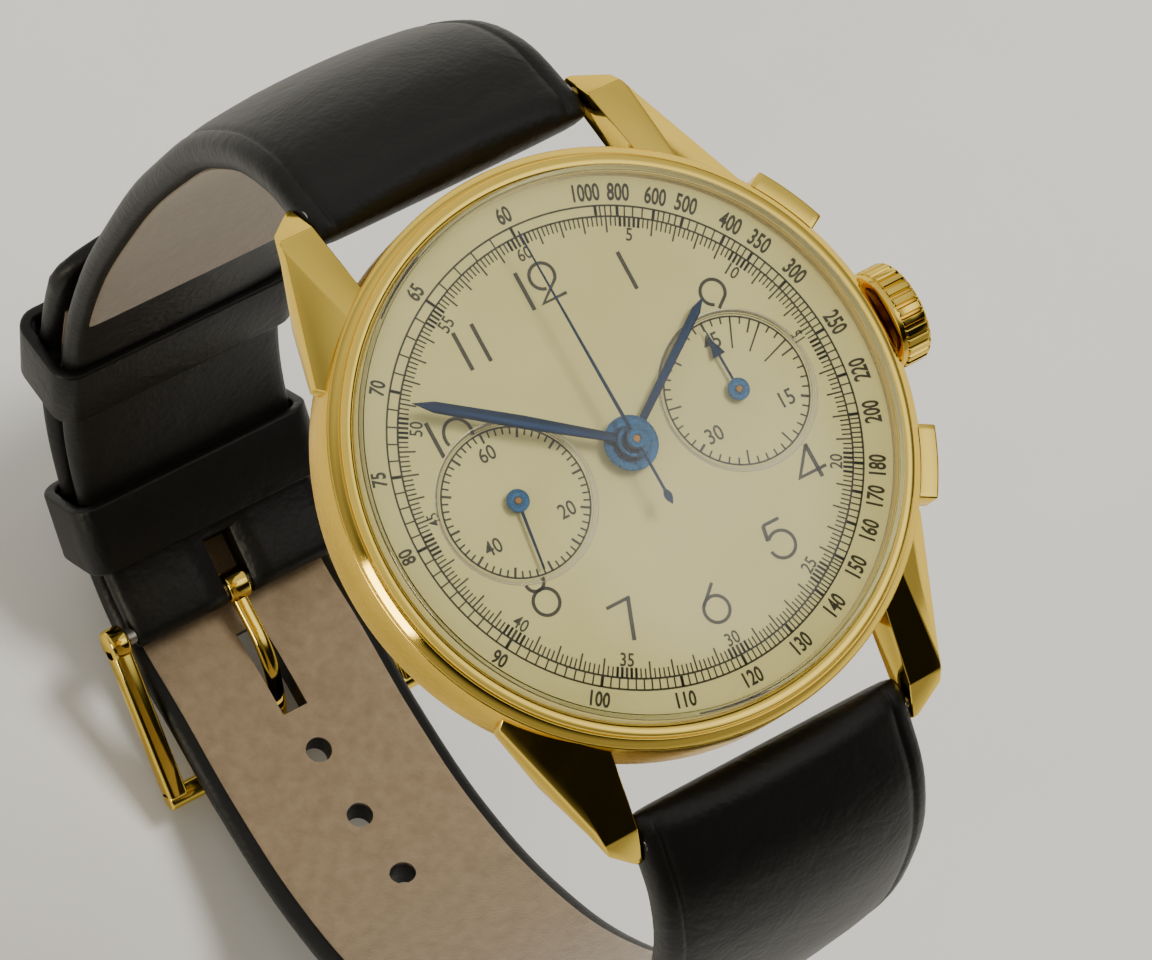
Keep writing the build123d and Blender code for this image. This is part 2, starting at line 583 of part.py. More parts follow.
def mainplate():
    """Main plate with posts, motion-work recess and pivot holes."""
    low, high = PLATE_Z
    plate = disc(PLATE_RADIUS, PLATE_Z)
    recess = (5.1, high + 1)
    plate -= disc(2.4, recess) + disc(2.25, recess, MINUTE_WHEEL_CENTRE)
    plate += disc(0.16, (5.0, 5.95), MINUTE_WHEEL_CENTRE)
    plate -= disc(0.52, (4, 7))
    for centre in (FOURTH_CENTRE, COUNTER_CENTRE):
        plate -= disc(0.24, (4, 7), centre)
    for centre, pivot in ((THIRD_CENTRE, 0.15), (ESCAPE_CENTRE, 0.12), (PALLET_CENTRE, 0.10),
                          (BALANCE_CENTRE, 0.12), (BARREL_CENTRE, 0.6)):
        plate -= disc(pivot + FIT, (low - 1, 5.1), centre)
    stem_slot = Box(6.0, 2.9, 2.2, align=(Align.MIN, Align.CENTER, Align.MIN))
    plate -= Pos(9.1, 0, 3.65) * stem_slot
    plate -= push_slots(PLATE_Z)
    for angle in CASE_SCREW_ANGLES:
        spot = (CASE_SCREW_REACH * cos(radians(angle)), CASE_SCREW_REACH * sin(radians(angle)))
        plate -= disc(0.45, (low - 1, 5.4), spot)
    for spot in MAINPLATE_POSTS:
        plate += disc(POST_RADIUS, (BRIDGE_Z[1], low), spot)
    return plate


def barrel_bridge():
    """Bridge over the barrel, it also carries the minute counter and the levers."""
    outline = ((-13.7, 1.0), (5.2, 1.0), (5.2, -1.6), (8.6, -3.9), (11.4, -3.9), (11.4, 1.0),
               (13.7, 1.0), (13.7, 14.0), (-13.7, 14.0))
    plate = slab(outline, BRIDGE_Z) & disc(BRIDGE_RADIUS, BRIDGE_Z)
    plate -= push_slots(BRIDGE_Z)
    plate -= disc(0.6 + FIT, (2, 3), BARREL_CENTRE) + disc(0.23, (2, 3), COUNTER_CENTRE)
    low = BRIDGE_Z[0]
    for centre, radius, reach in ((LEVER_PIVOT, 0.25, 1.35), (HAMMER_PIVOT, 0.25, 1.35),
                                  (COLUMN_CENTRE, 0.3, 1.45), (CROWN_WHEEL_CENTRE, 0.3, 1.5)):
        plate += disc(radius, (reach, low), centre)
    plate += disc(0.5, (LEVER_Z[1], low), (-9.5, 5.8)) + disc(0.4, (LEVER_Z[1], low), (-3.2, 6.2))
    return plate


def train_bridge():
    """Bridge over the centre, third, fourth and escape wheels."""
    outline = ((-13.7, 0.75), (3.6, 0.75), (3.4, -7.0), (1.2, -7.0), (-0.4, -4.6),
               (-6.0, -4.2), (-8.5, -4.6), (-13.7, -4.5))
    plate = slab(outline, BRIDGE_Z) & disc(BRIDGE_RADIUS, BRIDGE_Z)
    for centre, pivot in ((TRAIN_CENTRE, 0.45), (THIRD_CENTRE, 0.15), (FOURTH_CENTRE, 0.18),
                          (ESCAPE_CENTRE, 0.12)):
        plate -= disc(pivot + FIT, (2, 3), centre)
    return plate


def balance_cock():
    """Cock that holds the upper balance pivot and the spring stud."""
    body = link(COCK_FOOT, BALANCE_CENTRE, 2.2, (1.5, 2.1)) + disc(1.1, (2.1, PLATE_Z[0]), COCK_FOOT)
    body -= disc(0.12 + FIT, (1, 3), BALANCE_CENTRE)
    return body + disc(0.18, (1.9, 2.4), (-0.42, -9.85))


def pallet_bridge():
    """Small bridge over the pallet fork."""
    body = link(PALLET_FOOT, PALLET_CENTRE, 1.2, (2.5, 2.9)) + disc(0.6, (2.9, PLATE_Z[0]), PALLET_FOOT)
    return body - disc(0.10 + FIT, (2, 3), PALLET_CENTRE)


def case_screw(angle):
    """Slotted screw that clamps the movement against the case shoulder."""
    spot = (CASE_SCREW_REACH * cos(radians(angle)), CASE_SCREW_REACH * sin(radians(angle)))
    body = disc(1.0, (3.3, BACK_SHOULDER), spot) + disc(0.45, (BACK_SHOULDER, 5.4), spot)
    slot = Pos(spot[0], spot[1], 3.3) * (Rot(0, 0, angle + 35.0) * Box(3, 0.22, 0.3))
    return body - slot


# ---- movement: wheels -------------------------------------------------------------------
def barrel():
    """Going barrel with its toothed rim and lid."""
    drum = disc(4.1, (3.0, 4.25), BARREL_CENTRE)
    drum += gear(BARREL_TEETH, BARREL_MODULE, (4.0, 4.2), BARREL_CENTRE, barrel_phase())
    drum -= disc(3.85, (3.15, 4.1), BARREL_CENTRE)
    return drum - disc(0.6 + FIT, (2, 5), BARREL_CENTRE)


def barrel_phase():
    """Barrel teeth set in the gaps of the centre pinion."""
    return meshed_phase(0.0, CENTRE_PINION_TEETH, TRAIN_CENTRE, BARREL_TEETH, BARREL_CENTRE)


def spiral(centre, start, end, turns, thick, z_span):
    """Flat coil of strip between two radii."""
    steps = int(turns * 24)
    inner, outer = [], []
    for index in range(steps + 1):
        angle = 2 * pi * turns * index / steps
        radius = start + (end - start) * index / steps
        near, far = radius - thick / 2, radius + thick / 2
        inner.append((centre[0] + near * cos(angle), centre[1] + near * sin(angle)))
        outer.append((centre[0] + far * cos(angle), centre[1] + far * sin(angle)))
    return slab(outer + inner[::-1], z_span)


def mainspring():
    """Coiled mainspring inside the barrel."""
    return spiral(BARREL_CENTRE, 1.0, 3.7, 6.0, 0.14, (3.25, 4.0))


def barrel_arbor():
    """Arbor through the barrel that winding turns."""
    return disc(0.6, (1.85, 5.05), BARREL_CENTRE) + disc(0.3, (1.4, 1.85), BARREL_CENTRE)


def ratchet_wheel():
    """Wheel that winds the barrel arbor."""
    wheel = gear(40, 0.11, (1.55, 1.8), BARREL_CENTRE, ratchet_phase())
    return wheel - disc(0.32, (1, 2), BARREL_CENTRE)


def ratchet_phase():
    """Ratchet teeth set in the gaps of the crown wheel."""
    return meshed_phase(0.0, 24, CROWN_WHEEL_CENTRE, 40, BARREL_CENTRE)


def crown_wheel():
    """Wheel between the stem and the ratchet wheel."""
    wheel = gear(24, 0.11, (1.55, 1.8), CROWN_WHEEL_CENTRE)
    return wheel - disc(0.3 + FIT, (1, 2), CROWN_WHEEL_CENTRE)


def click():
    """Pawl that stops the ratchet wheel from running back."""
    return link((-3.2, 6.2), (-1.85, 5.35), 0.45, LEVER_Z) + disc(0.5, LEVER_Z, (-3.2, 6.2))


def centre_wheel():
    """Centre wheel with its pinion on a hollow arbor."""
    wheel = gear(CENTRE_TEETH, CENTRE_MODULE, (4.40, 4.55), TRAIN_CENTRE)
    wheel = spoked(wheel, TRAIN_CENTRE, 3.7, 1.0, 0.5, (4.40, 4.55))
    wheel += gear(CENTRE_PINION_TEETH, BARREL_MODULE, (3.95, 4.25), TRAIN_CENTRE)
    return wheel + disc(0.45, (2.25, 7.45)) - disc(0.26, (2, 8))


def third_phase():
    """Third pinion set in the gaps of the centre wheel."""
    return meshed_phase(0.0, CENTRE_TEETH, TRAIN_CENTRE, THIRD_PINION_TEETH, THIRD_CENTRE)


def third_wheel():
    """Third wheel and pinion."""
    wheel = gear(THIRD_TEETH, THIRD_MODULE, (3.65, 3.85), THIRD_CENTRE, third_phase())
    wheel = spoked(wheel, THIRD_CENTRE, 3.15, 0.8, 0.45, (3.65, 3.85))
    wheel += gear(THIRD_PINION_TEETH, CENTRE_MODULE, (4.32, 4.62), THIRD_CENTRE, third_phase())
    return wheel + disc(0.15, (2.35, 5.0), THIRD_CENTRE)


def fourth_phase():
    """Fourth pinion set in the gaps of the third wheel."""
    return meshed_phase(third_phase(), THIRD_TEETH, THIRD_CENTRE, FOURTH_PINION_TEETH, FOURTH_CENTRE)


def fourth_wheel():
    """Fourth wheel, its long arbor, and the chronograph drive wheel at the back."""
    wheel = gear(FOURTH_TEETH, FOURTH_MODULE, (4.05, 4.2), FOURTH_CENTRE, fourth_phase())
    wheel = spoked(wheel, FOURTH_CENTRE, 2.6, 0.7, 0.4, (4.05, 4.2))
    wheel += gear(FOURTH_PINION_TEETH, THIRD_MODULE, (3.6, 3.92), FOURTH_CENTRE, fourth_phase())
    wheel += gear(DRIVE_TEETH, CHRONO_MODULE, CHRONO_WHEEL_Z, FOURTH_CENTRE)
    return wheel + disc(0.18, (1.6, 6.82), FOURTH_CENTRE)


def escape_phase():
    """Escape pinion set in the gaps of the fourth wheel."""
    return meshed_phase(fourth_phase(), FOURTH_TEETH, FOURTH_CENTRE, ESCAPE_PINION_TEETH, ESCAPE_CENTRE)


def escape_wheel():
    """Escape wheel with fifteen hooked teeth."""
    points = []
    for index in range(ESCAPE_TEETH):
        middle = 2 * pi * index / ESCAPE_TEETH
        for share, radius in ((-0.30, 1.65), (0.02, 2.1), (0.10, 2.08), (0.02, 1.65)):
            angle = middle + share * 2 * pi / ESCAPE_TEETH
            x, y = ESCAPE_CENTRE
            points.append((x + radius * cos(angle), y + radius * sin(angle)))
    wheel = spoked(slab(points, (3.2, 3.4)), ESCAPE_CENTRE, 1.35, 0.4, 0.28, (3.2, 3.4))
    wheel += gear(ESCAPE_PINION_TEETH, FOURTH_MODULE, (4.0, 4.3), ESCAPE_CENTRE, escape_phase())
    return wheel + disc(0.12, (2.35, 5.0), ESCAPE_CENTRE)


def pallet_fork():
    """Lever with two pallets and a forked end."""
    span = (3.2, 3.4)
    away = (BALANCE_CENTRE[0] - PALLET_CENTRE[0], BALANCE_CENTRE[1] - PALLET_CENTRE[1])
    aim = atan2(away[1], away[0])
    reach = hypot(*away) - 1.15
    tip = (PALLET_CENTRE[0] + reach * cos(aim), PALLET_CENTRE[1] + reach * sin(aim))
    body = link(PALLET_CENTRE, tip, 0.3, span)
    for side in (-1, 1):
        horn = (tip[0] + 0.35 * cos(aim + side * 1.1), tip[1] + 0.35 * sin(aim + side * 1.1))
        body += link(tip, horn, 0.14, span)
        toward = atan2(PALLET_CENTRE[1] - ESCAPE_CENTRE[1], PALLET_CENTRE[0] - ESCAPE_CENTRE[0])
        angle = toward + side * radians(33.0)
        stone = (ESCAPE_CENTRE[0] + 2.6 * cos(angle), ESCAPE_CENTRE[1] + 2.6 * sin(angle))
        body += link(PALLET_CENTRE, stone, 0.26, span)
    return body + disc(0.10, (2.55, 5.0), PALLET_CENTRE)


def balance_wheel():
    """Balance with its rim, arms, staff and roller."""
    span = (2.6, 2.95)
    wheel = spoked(disc(4.2, span, BALANCE_CENTRE), BALANCE_CENTRE, 3.75, 0.6, 0.4, span)
    wheel += disc(0.12, (1.6, 5.0), BALANCE_CENTRE) + disc(0.22, (2.0, 4.4), BALANCE_CENTRE)
    wheel += disc(0.55, (2.95, 3.12), BALANCE_CENTRE)
    return wheel + disc(0.08, (3.12, 3.4), (BALANCE_CENTRE[0] - 0.35, BALANCE_CENTRE[1] + 0.25))


def hairspring():
    """Flat hairspring round the balance staff."""
    return spiral(BALANCE_CENTRE, 0.45, 2.75, 8.97, 0.06, (2.22, 2.36))


# ---- movement: motion work and chronograph -------------------------------------------------
def cannon_pinion():
    """Pipe that carries the minute hand."""
    body = gear(CANNON_TEETH, CANNON_MODULE, (5.2, 5.45), TRAIN_CENTRE) + disc(0.61, (5.45, 7.7))
    return body - disc(0.46, (5, 8))


def minute_wheel_phase():
    """Minute wheel set in the gaps of the cannon pinion."""
    return meshed_phase(0.0, CANNON_TEETH, TRAIN_CENTRE, MINUTE_WHEEL_TEETH, MINUTE_WHEEL_CENTRE)


def minute_wheel():
    """Motion-work wheel and pinion under the dial."""
    phase = minute_wheel_phase()
    body = gear(MINUTE_WHEEL_TEETH, CANNON_MODULE, (5.22, 5.4), MINUTE_WHEEL_CENTRE, phase)
    body += gear(MINUTE_PINION_TEETH, HOUR_MODULE, (5.4, 5.9), MINUTE_WHEEL_CENTRE, phase)
    return body - disc(0.16 + FIT, (5, 6.5), MINUTE_WHEEL_CENTRE)


def hour_wheel():
    """Hour wheel with its pipe."""
    phase = meshed_phase(minute_wheel_phase(), MINUTE_PINION_TEETH, MINUTE_WHEEL_CENTRE,
                         HOUR_TEETH, TRAIN_CENTRE)
    body = gear(HOUR_TEETH, HOUR_MODULE, (5.65, 5.85), TRAIN_CENTRE, phase)
    body += disc(0.97, (5.65, 7.25))
    return body - disc(0.7, (5, 8))


def heart(centre, z_span):
    """Heart-shaped reset cam."""
    x, y = centre
    body = disc(0.5, z_span, centre)
    for side in (1, -1):
        body += disc(0.4, z_span, (x + side * 0.35, y + 0.2))
    return body


def chrono_runner():
    """Chronograph centre wheel, heart cam and the arbor of the centre seconds."""
    wheel = gear(RUNNER_TEETH, CHRONO_MODULE, CHRONO_WHEEL_Z, TRAIN_CENTRE)
    wheel = spoked(wheel, TRAIN_CENTRE, 3.1, 0.9, 0.4, CHRONO_WHEEL_Z)
    return wheel + heart(TRAIN_CENTRE, (1.55, 1.96)) + disc(0.2, (1.4, 8.2))


def minute_recorder():
    """Minute counter wheel, heart cam and arbor."""
    wheel = gear(90, 0.058, CHRONO_WHEEL_Z, COUNTER_CENTRE)
    wheel = spoked(wheel, COUNTER_CENTRE, 2.2, 0.8, 0.35, CHRONO_WHEEL_Z)
    return wheel + heart(COUNTER_CENTRE, (1.55, 1.96)) + disc(0.18, (1.4, 6.82), COUNTER_CENTRE)


def coupling_wheel():
    """Small wheel that the drive wheel keeps turning."""
    phase = meshed_phase(0.0, DRIVE_TEETH, FOURTH_CENTRE, COUPLING_TEETH, COUPLING_CENTRE)
    wheel = gear(COUPLING_TEETH, CHRONO_MODULE, CHRONO_WHEEL_Z, COUPLING_CENTRE, phase)
    return wheel + disc(0.14, (1.45, 2.2), COUPLING_CENTRE)


def coupling_lever():
    """Lever that holds the coupling wheel beside the chronograph wheel."""
    body = link((-9.5, 5.8), COUPLING_CENTRE, 0.9, LEVER_Z) + disc(0.7, LEVER_Z, (-9.5, 5.8))
    return body - disc(0.14 + FIT, (1, 2), COUPLING_CENTRE)


def column_wheel():
    """Six-column wheel that commands the chronograph levers."""
    wheel = gear(14, 0.2, (1.95, 2.12), COLUMN_CENTRE)
    column = ring(1.15, 0.7, (1.45, 1.96), COLUMN_CENTRE)
    for index in range(3):
        gap = Rot(0, 0, 60 * index) * Box(3, 0.5, 1.1)
        column -= Pos(COLUMN_CENTRE[0], COLUMN_CENTRE[1], 1.4) * gap
    return wheel + column - disc(0.3 + FIT, (1, 3), COLUMN_CENTRE)


def push_tab(angle):
    """Upright tab in front of a pusher stem, bent up from a lever."""
    inner, outer = PUSH_TAB_REACH
    tab = Box(outer - inner, 1.5, 5.4 - LEVER_Z[0], align=(Align.MIN, Align.CENTER, Align.MIN))
    return Rot(0, 0, angle) * (Pos(inner, 0, LEVER_Z[0]) * tab)


def operating_lever():
    """Lever from the upper pusher to the column wheel."""
    angle = PUSHER_ANGLES[0]
    foot = (12.9 * cos(radians(angle)), 12.9 * sin(radians(angle)))
    body = link(LEVER_PIVOT, foot, 0.7, LEVER_Z) + link(LEVER_PIVOT, (6.6, 10.3), 0.6, LEVER_Z)
    body += disc(0.7, LEVER_Z, LEVER_PIVOT) + push_tab(angle)
    return body - disc(0.25 + FIT, (1, 3), LEVER_PIVOT)


def reset_hammer():
    """Lever from the lower pusher towards both heart cams."""
    angle = PUSHER_ANGLES[1]
    foot = (12.9 * cos(radians(angle)), 12.9 * sin(radians(angle)))
    body = link(HAMMER_PIVOT, foot, 0.7, LEVER_Z) + link(HAMMER_PIVOT, (1.4, -3.3), 0.7, LEVER_Z)
    body += link((1.4, -3.3), (0.1, -2.75), 0.7, LEVER_Z)
    body += link((7.45, -2.9), (7.45, -1.9), 0.7, LEVER_Z)
    body += disc(0.7, LEVER_Z, HAMMER_PIVOT) + push_tab(angle)
    return body - disc(0.25 + FIT, (1, 3), HAMMER_PIVOT)


def nodes():
    """Every separate piece of the watch by node name."""
    upper, lower = PUSHER_ANGLES
    return {
        "case_middle": case_middle(), "bezel": bezel(), "crystal": crystal(),
        "case_back": case_back(), "case_back_gasket": case_back_gasket(), "dial": dial(),
        "crown": crown(), "crown_gasket": crown_gasket(), "crown_tube": crown_tube(),
        "winding_stem": winding_stem(), "sliding_pinion": sliding_pinion(),
        "pusher_upper": pusher(upper), "pusher_lower": pusher(lower),
        "pusher_tube_upper": pusher_tube(upper), "pusher_tube_lower": pusher_tube(lower),
        "strap_buckle_side": strap_buckle_side(), "strap_tail_side": strap_tail_side(),
        "spring_bar_upper": spring_bar(1), "spring_bar_lower": spring_bar(-1),
        "fixed_keeper": keeper(FIXED_KEEPER), "sliding_keeper": keeper(SLIDING_KEEPER),
        "buckle_frame": buckle_frame(), "buckle_bar": buckle_bar(), "buckle_tongue": buckle_tongue(),
        "hour_hand": hour_hand(), "minute_hand": minute_hand(), "chrono_seconds_hand": chrono_hand(),
        "small_seconds_hand": small_seconds_hand(), "minute_counter_hand": counter_hand(),
        "mainplate": mainplate(), "barrel_bridge": barrel_bridge(), "train_bridge": train_bridge(),
        "balance_cock": balance_cock(), "pallet_bridge": pallet_bridge(),
        "case_screw_upper": case_screw(CASE_SCREW_ANGLES[0]),
        "case_screw_lower": case_screw(CASE_SCREW_ANGLES[1]),
        "barrel": barrel(), "mainspring": mainspring(), "barrel_arbor": barrel_arbor(),
        "ratchet_wheel": ratchet_wheel(), "crown_wheel": crown_wheel(), "click": click(),
        "centre_wheel": centre_wheel(), "third_wheel": third_wheel(), "fourth_wheel": fourth_wheel(),
        "escape_wheel": escape_wheel(), "pallet_fork": pallet_fork(), "balance_wheel": balance_wheel(),
        "hairspring": hairspring(), "cannon_pinion": cannon_pinion(), "minute_wheel": minute_wheel(),
        "hour_wheel": hour_wheel(), "chrono_runner": chrono_runner(), "minute_recorder": minute_recorder(),
        "coupling_wheel": coupling_wheel(), "coupling_lever": coupling_lever(),
        "column_wheel": column_wheel(), "operating_lever": operating_lever(), "reset_hammer": reset_hammer(),
    }


os.makedirs("parts", exist_ok=True)
for name, solid in nodes().items():
    export_step(solid, f"parts/{name}.step")
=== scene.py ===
"""Looks of a gold two-register chronograph wristwatch on a buckled calf strap.

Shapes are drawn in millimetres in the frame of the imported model: +X to 3 o'clock, +Y to
12 o'clock, +Z out of the dial, with the origin at the centre of the case back's outer face.
"""
import logging
import math
from dataclasses import dataclass, field
from enum import Enum
from typing import Iterable, Optional, Sequence

import bmesh
import bpy
from mathutils import Matrix, Vector


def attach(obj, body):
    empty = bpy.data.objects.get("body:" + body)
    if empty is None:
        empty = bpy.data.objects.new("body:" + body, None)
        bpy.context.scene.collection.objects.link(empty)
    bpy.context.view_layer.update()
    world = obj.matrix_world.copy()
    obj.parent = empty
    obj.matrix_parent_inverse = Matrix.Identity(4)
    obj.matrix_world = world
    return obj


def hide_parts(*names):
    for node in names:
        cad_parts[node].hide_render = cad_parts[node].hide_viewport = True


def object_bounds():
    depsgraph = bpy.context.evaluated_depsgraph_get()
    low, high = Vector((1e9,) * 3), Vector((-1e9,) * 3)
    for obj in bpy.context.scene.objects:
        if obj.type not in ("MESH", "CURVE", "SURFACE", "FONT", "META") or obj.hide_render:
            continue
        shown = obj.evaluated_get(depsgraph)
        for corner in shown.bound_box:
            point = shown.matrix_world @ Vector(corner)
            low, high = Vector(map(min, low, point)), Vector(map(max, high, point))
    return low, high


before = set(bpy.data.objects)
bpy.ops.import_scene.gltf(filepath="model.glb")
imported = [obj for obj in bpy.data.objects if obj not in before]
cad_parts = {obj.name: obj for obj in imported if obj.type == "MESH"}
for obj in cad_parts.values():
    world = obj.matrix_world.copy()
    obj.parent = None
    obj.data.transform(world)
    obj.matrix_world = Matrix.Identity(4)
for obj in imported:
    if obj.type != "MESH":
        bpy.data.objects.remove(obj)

LOG = logging.getLogger("watch")
MM = 0.001
DIAL_UNIT = 13.3        # radius of the seconds ring, the yardstick of the dial's printing
DIAL_TOP = 6.512        # height of the printing on the dial
SMALL_DIAL_FLOOR = 6.362    # height of the printing in the sunk small dials
SMALL_DIAL_X = 7.45     # distance of each small dial from the centre
PUSHER_ANGLES = (28.0, -28.0)   # above and below 3 o'clock, in degrees
PUSHER_HEIGHT = 4.965   # height of the pushers' axes
CAD_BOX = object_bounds()

Point = tuple[float, float]
Socket = bpy.types.NodeSocket


# ---- colour and nodes ------------------------------------------------------------
def linear(code: str) -> tuple[float, float, float, float]:
    """Turns an sRGB hex colour into the linear colour that shaders take.

    Args:
        code: Six hex digits after a hash sign.

    Returns:
        Linear red, green, blue and full opacity.
    """
    parts = [int(code[i:i + 2], 16) / 255 for i in (1, 3, 5)]
    red, green, blue = (c / 12.92 if c <= 0.04045 else ((c + 0.055) / 1.055) ** 2.4 for c in parts)
    return red, green, blue, 1.0


def add_node(tree: bpy.types.NodeTree, kind: str, settings: Optional[dict] = None,
             links: Optional[dict] = None) -> bpy.types.Node:
    """Adds one node and gives it its settings and links.

    Args:
        tree: The node tree that takes the node.
        kind: Blender's type name of the node.
        settings: Values by socket name or number, or by the name of a property of the node.
        links: Output sockets by the name or number of the input that each one feeds.

    Returns:
        The new node.
    """
    node = tree.nodes.new(kind)
    for key, value in (settings or {}).items():
        if isinstance(key, int) or key in node.inputs:
            node.inputs[key].default_value = value
        else:
            setattr(node, key, value)
    for key, source in (links or {}).items():
        tree.links.new(source, node.inputs[key])
    return node


# ---- finishes ----------------------------------------------------------------------
class Pattern(Enum):
    """How a surface was worked, which sets the pattern that its relief follows."""

    EVEN = "no direction"
    ROUND = "lines that run round the watch"
    PORES = "pores and creases of leather"
    NAP = "raised nap of suede"


@dataclass(frozen=True)
class Finish:
    """One real material with the way its surface was made."""

    name: str
    colour: str
    worn: str
    metallic: float
    roughness: tuple[float, float]
    grain: float            # size of the pattern in millimetres
    relief: float           # depth of the pattern in millimetres
    pattern: Pattern = Pattern.EVEN
    specular: float = 0.5
    sheen: float = 0.0
    patch: float = 6.0      # size of the colour's variation in millimetres
    edge: str = "#FFFFFF"   # tint of what is mirrored at a glancing angle

    def material(self) -> bpy.types.Material:
        """Returns the finish as a material, made once."""
        known = bpy.data.materials.get(self.name)
        return known if known is not None else self.make()

    def place(self, tree: bpy.types.NodeTree) -> Socket:
        """Adds the coordinates that the pattern follows.

        Args:
            tree: The material's node tree.

        Returns:
            The socket that holds them, in metres.
        """
        spot = add_node(tree, "ShaderNodeTexCoord").outputs["Object"]
        if self.pattern is not Pattern.ROUND:
            return spot
        axes = add_node(tree, "ShaderNodeSeparateXYZ", links={0: spot})
        turn = add_node(tree, "ShaderNodeMath", {"operation": "ARCTAN2"},
                        {0: axes.outputs["Y"], 1: axes.outputs["X"]})
        slow = add_node(tree, "ShaderNodeMath", {"operation": "MULTIPLY", 1: 0.0006},
                        {0: turn.outputs[0]})
        flat = add_node(tree, "ShaderNodeVectorMath", {"operation": "MULTIPLY", 1: (1, 1, 0)},
                        {0: spot})
        reach = add_node(tree, "ShaderNodeVectorMath", {"operation": "LENGTH"},
                         {0: flat.outputs[0]})
        return add_node(tree, "ShaderNodeCombineXYZ",
                        links={0: slow.outputs[0], 1: reach.outputs["Value"],
                               2: axes.outputs["Z"]}).outputs[0]

    def height(self, tree: bpy.types.NodeTree, place: Socket) -> Socket:
        """Adds the relief of the surface.

        Args:
            tree: The material's node tree.
            place: The coordinates that the pattern follows.

        Returns:
            The socket that holds the height, from about 0 to 1.
        """
        scale = 1 / (self.grain * MM)
        fine = add_node(tree, "ShaderNodeTexNoise", {"Scale": scale, "Detail": 3.0}, {0: place})
        if self.pattern is not Pattern.PORES:
            return fine.outputs[0]
        pores = add_node(tree, "ShaderNodeTexVoronoi", {"Scale": scale}, {"Vector": place})
        folds = add_node(tree, "ShaderNodeTexNoise",
                         {"Scale": scale / 9, "Detail": 3.0, "Distortion": 1.6}, {0: place})
        deep = add_node(tree, "ShaderNodeMath", {"operation": "MULTIPLY", 1: 2.2},
                        {0: folds.outputs[0]})
        mixed = add_node(tree, "ShaderNodeMath", {"operation": "MULTIPLY_ADD", 1: 0.45},
                         {0: pores.outputs[0], 2: deep.outputs[0]})
        return mixed.outputs[0]

    def make(self) -> bpy.types.Material:
        """Builds the node tree of the finish.

        Returns:
            The new material.
        """
        made = bpy.data.materials.new(self.name)
        made.use_nodes = True
        tree = made.node_tree
        tree.nodes.clear()
        place = self.place(tree)
        height = self.height(tree, place)
        patches = add_node(tree, "ShaderNodeTexNoise",
                           {"Scale": 1 / (self.patch * MM), "Detail": 2.0}, {0: place})
        tint = add_node(tree, "ShaderNodeMix",
                        {"data_type": "RGBA", 6: linear(self.colour), 7: linear(self.worn)},
                        {0: patches.outputs[0]})
        rough = add_node(tree, "ShaderNodeMapRange",
                         {"From Min": 0.3, "From Max": 0.7, "To Min": self.roughness[0],
                          "To Max": self.roughness[1]}, {"Value": height})
        bump = add_node(tree, "ShaderNodeBump", {"Strength": 1.0, "Distance": self.relief * MM},
                        {"Height": height})
        shader = add_node(
            tree, "ShaderNodeBsdfPrincipled",
            {"Metallic": self.metallic, "Specular IOR Level": self.specular,
             "Specular Tint": linear(self.edge), "Sheen Weight": self.sheen,
             "Sheen Roughness": 0.5},
            {"Base Color": tint.outputs[2], "Roughness": rough.outputs[0],
             "Normal": bump.outputs[0]})
        add_node(tree, "ShaderNodeOutputMaterial", links={0: shader.outputs[0]})
        return made


@dataclass(frozen=True)
class ClearFinish(Finish):
    """A clear plastic that light passes on its way to what it covers."""

    bend: float = 1.49

    def make(self) -> bpy.types.Material:
        """Builds the clear plastic, which lets lamps light the dial under it.

        Returns:
            The new material.
        """
        made = bpy.data.materials.new(self.name)
        made.use_nodes = True
        tree = made.node_tree
        tree.nodes.clear()
        height = self.height(tree, self.place(tree))
        bump = add_node(tree, "ShaderNodeBump", {"Strength": 1.0, "Distance": self.relief * MM},
                        {"Height": height})
        glass = add_node(tree, "ShaderNodeBsdfPrincipled",
                         {"Base Color": linear(self.colour), "Transmission Weight": 1.0,
                          "Roughness": self.roughness[0], "IOR": self.bend},
                         {"Normal": bump.outputs[0]})
        clear = add_node(tree, "ShaderNodeBsdfTransparent", {"Color": linear(self.colour)})
        ray = add_node(tree, "ShaderNodeLightPath")
        both = add_node(tree, "ShaderNodeMixShader",
                        links={0: ray.outputs["Is Shadow Ray"], 1: glass.outputs[0],
                               2: clear.outputs[0]})
        add_node(tree, "ShaderNodeOutputMaterial", links={0: both.outputs[0]})
        return made


# Gold keeps its yellow at a glancing angle, where most metals turn white.
GOLD_EDGE = "#FFF0C4"
# 18 carat gold, lapped on a soft buff: mirror reflections with the faintest handling haze.
POLISHED_GOLD = Finish("yellow_gold_polished", "#F2D364", "#E9C655", 1.0, (0.05, 0.12), 1.8,
                       0.0006, edge=GOLD_EDGE)
# The same gold drawn along an abrasive band: fine lines round the case, 0.05 mm apart in the
# real one and drawn 0.09 mm apart so that they show; a soft stretched glow.
BRUSHED_GOLD = Finish("yellow_gold_brushed", "#EBC95E", "#DDB84C", 1.0, (0.18, 0.32), 0.09, 0.0018,
                      Pattern.ROUND, edge=GOLD_EDGE)
# Painted shade: gold made darker and redder for the crown's recess and its tube, where shadow
# falls.
RECESS_SHADE_GOLD = Finish("yellow_gold_painted_shade", "#C99A50", "#A86A30", 1.0, (0.28, 0.45), 0.5, 0.004)
# Silvered brass brushed flat with paste and aged to champagne: satin, with a soft broad glow.
CHAMPAGNE_DIAL = Finish("silvered_dial_champagne", "#D9D296", "#C6BE7E", 0.45, (0.34, 0.50), 0.12,
                        0.0010, patch=7.0)
# Printing ink laid by a silicone pad: dark brown-grey and slightly raised, nearly matt.
DIAL_INK = Finish("printing_ink_dark", "#2B2922", "#37342A", 0.0, (0.55, 0.70), 0.2, 0.001)
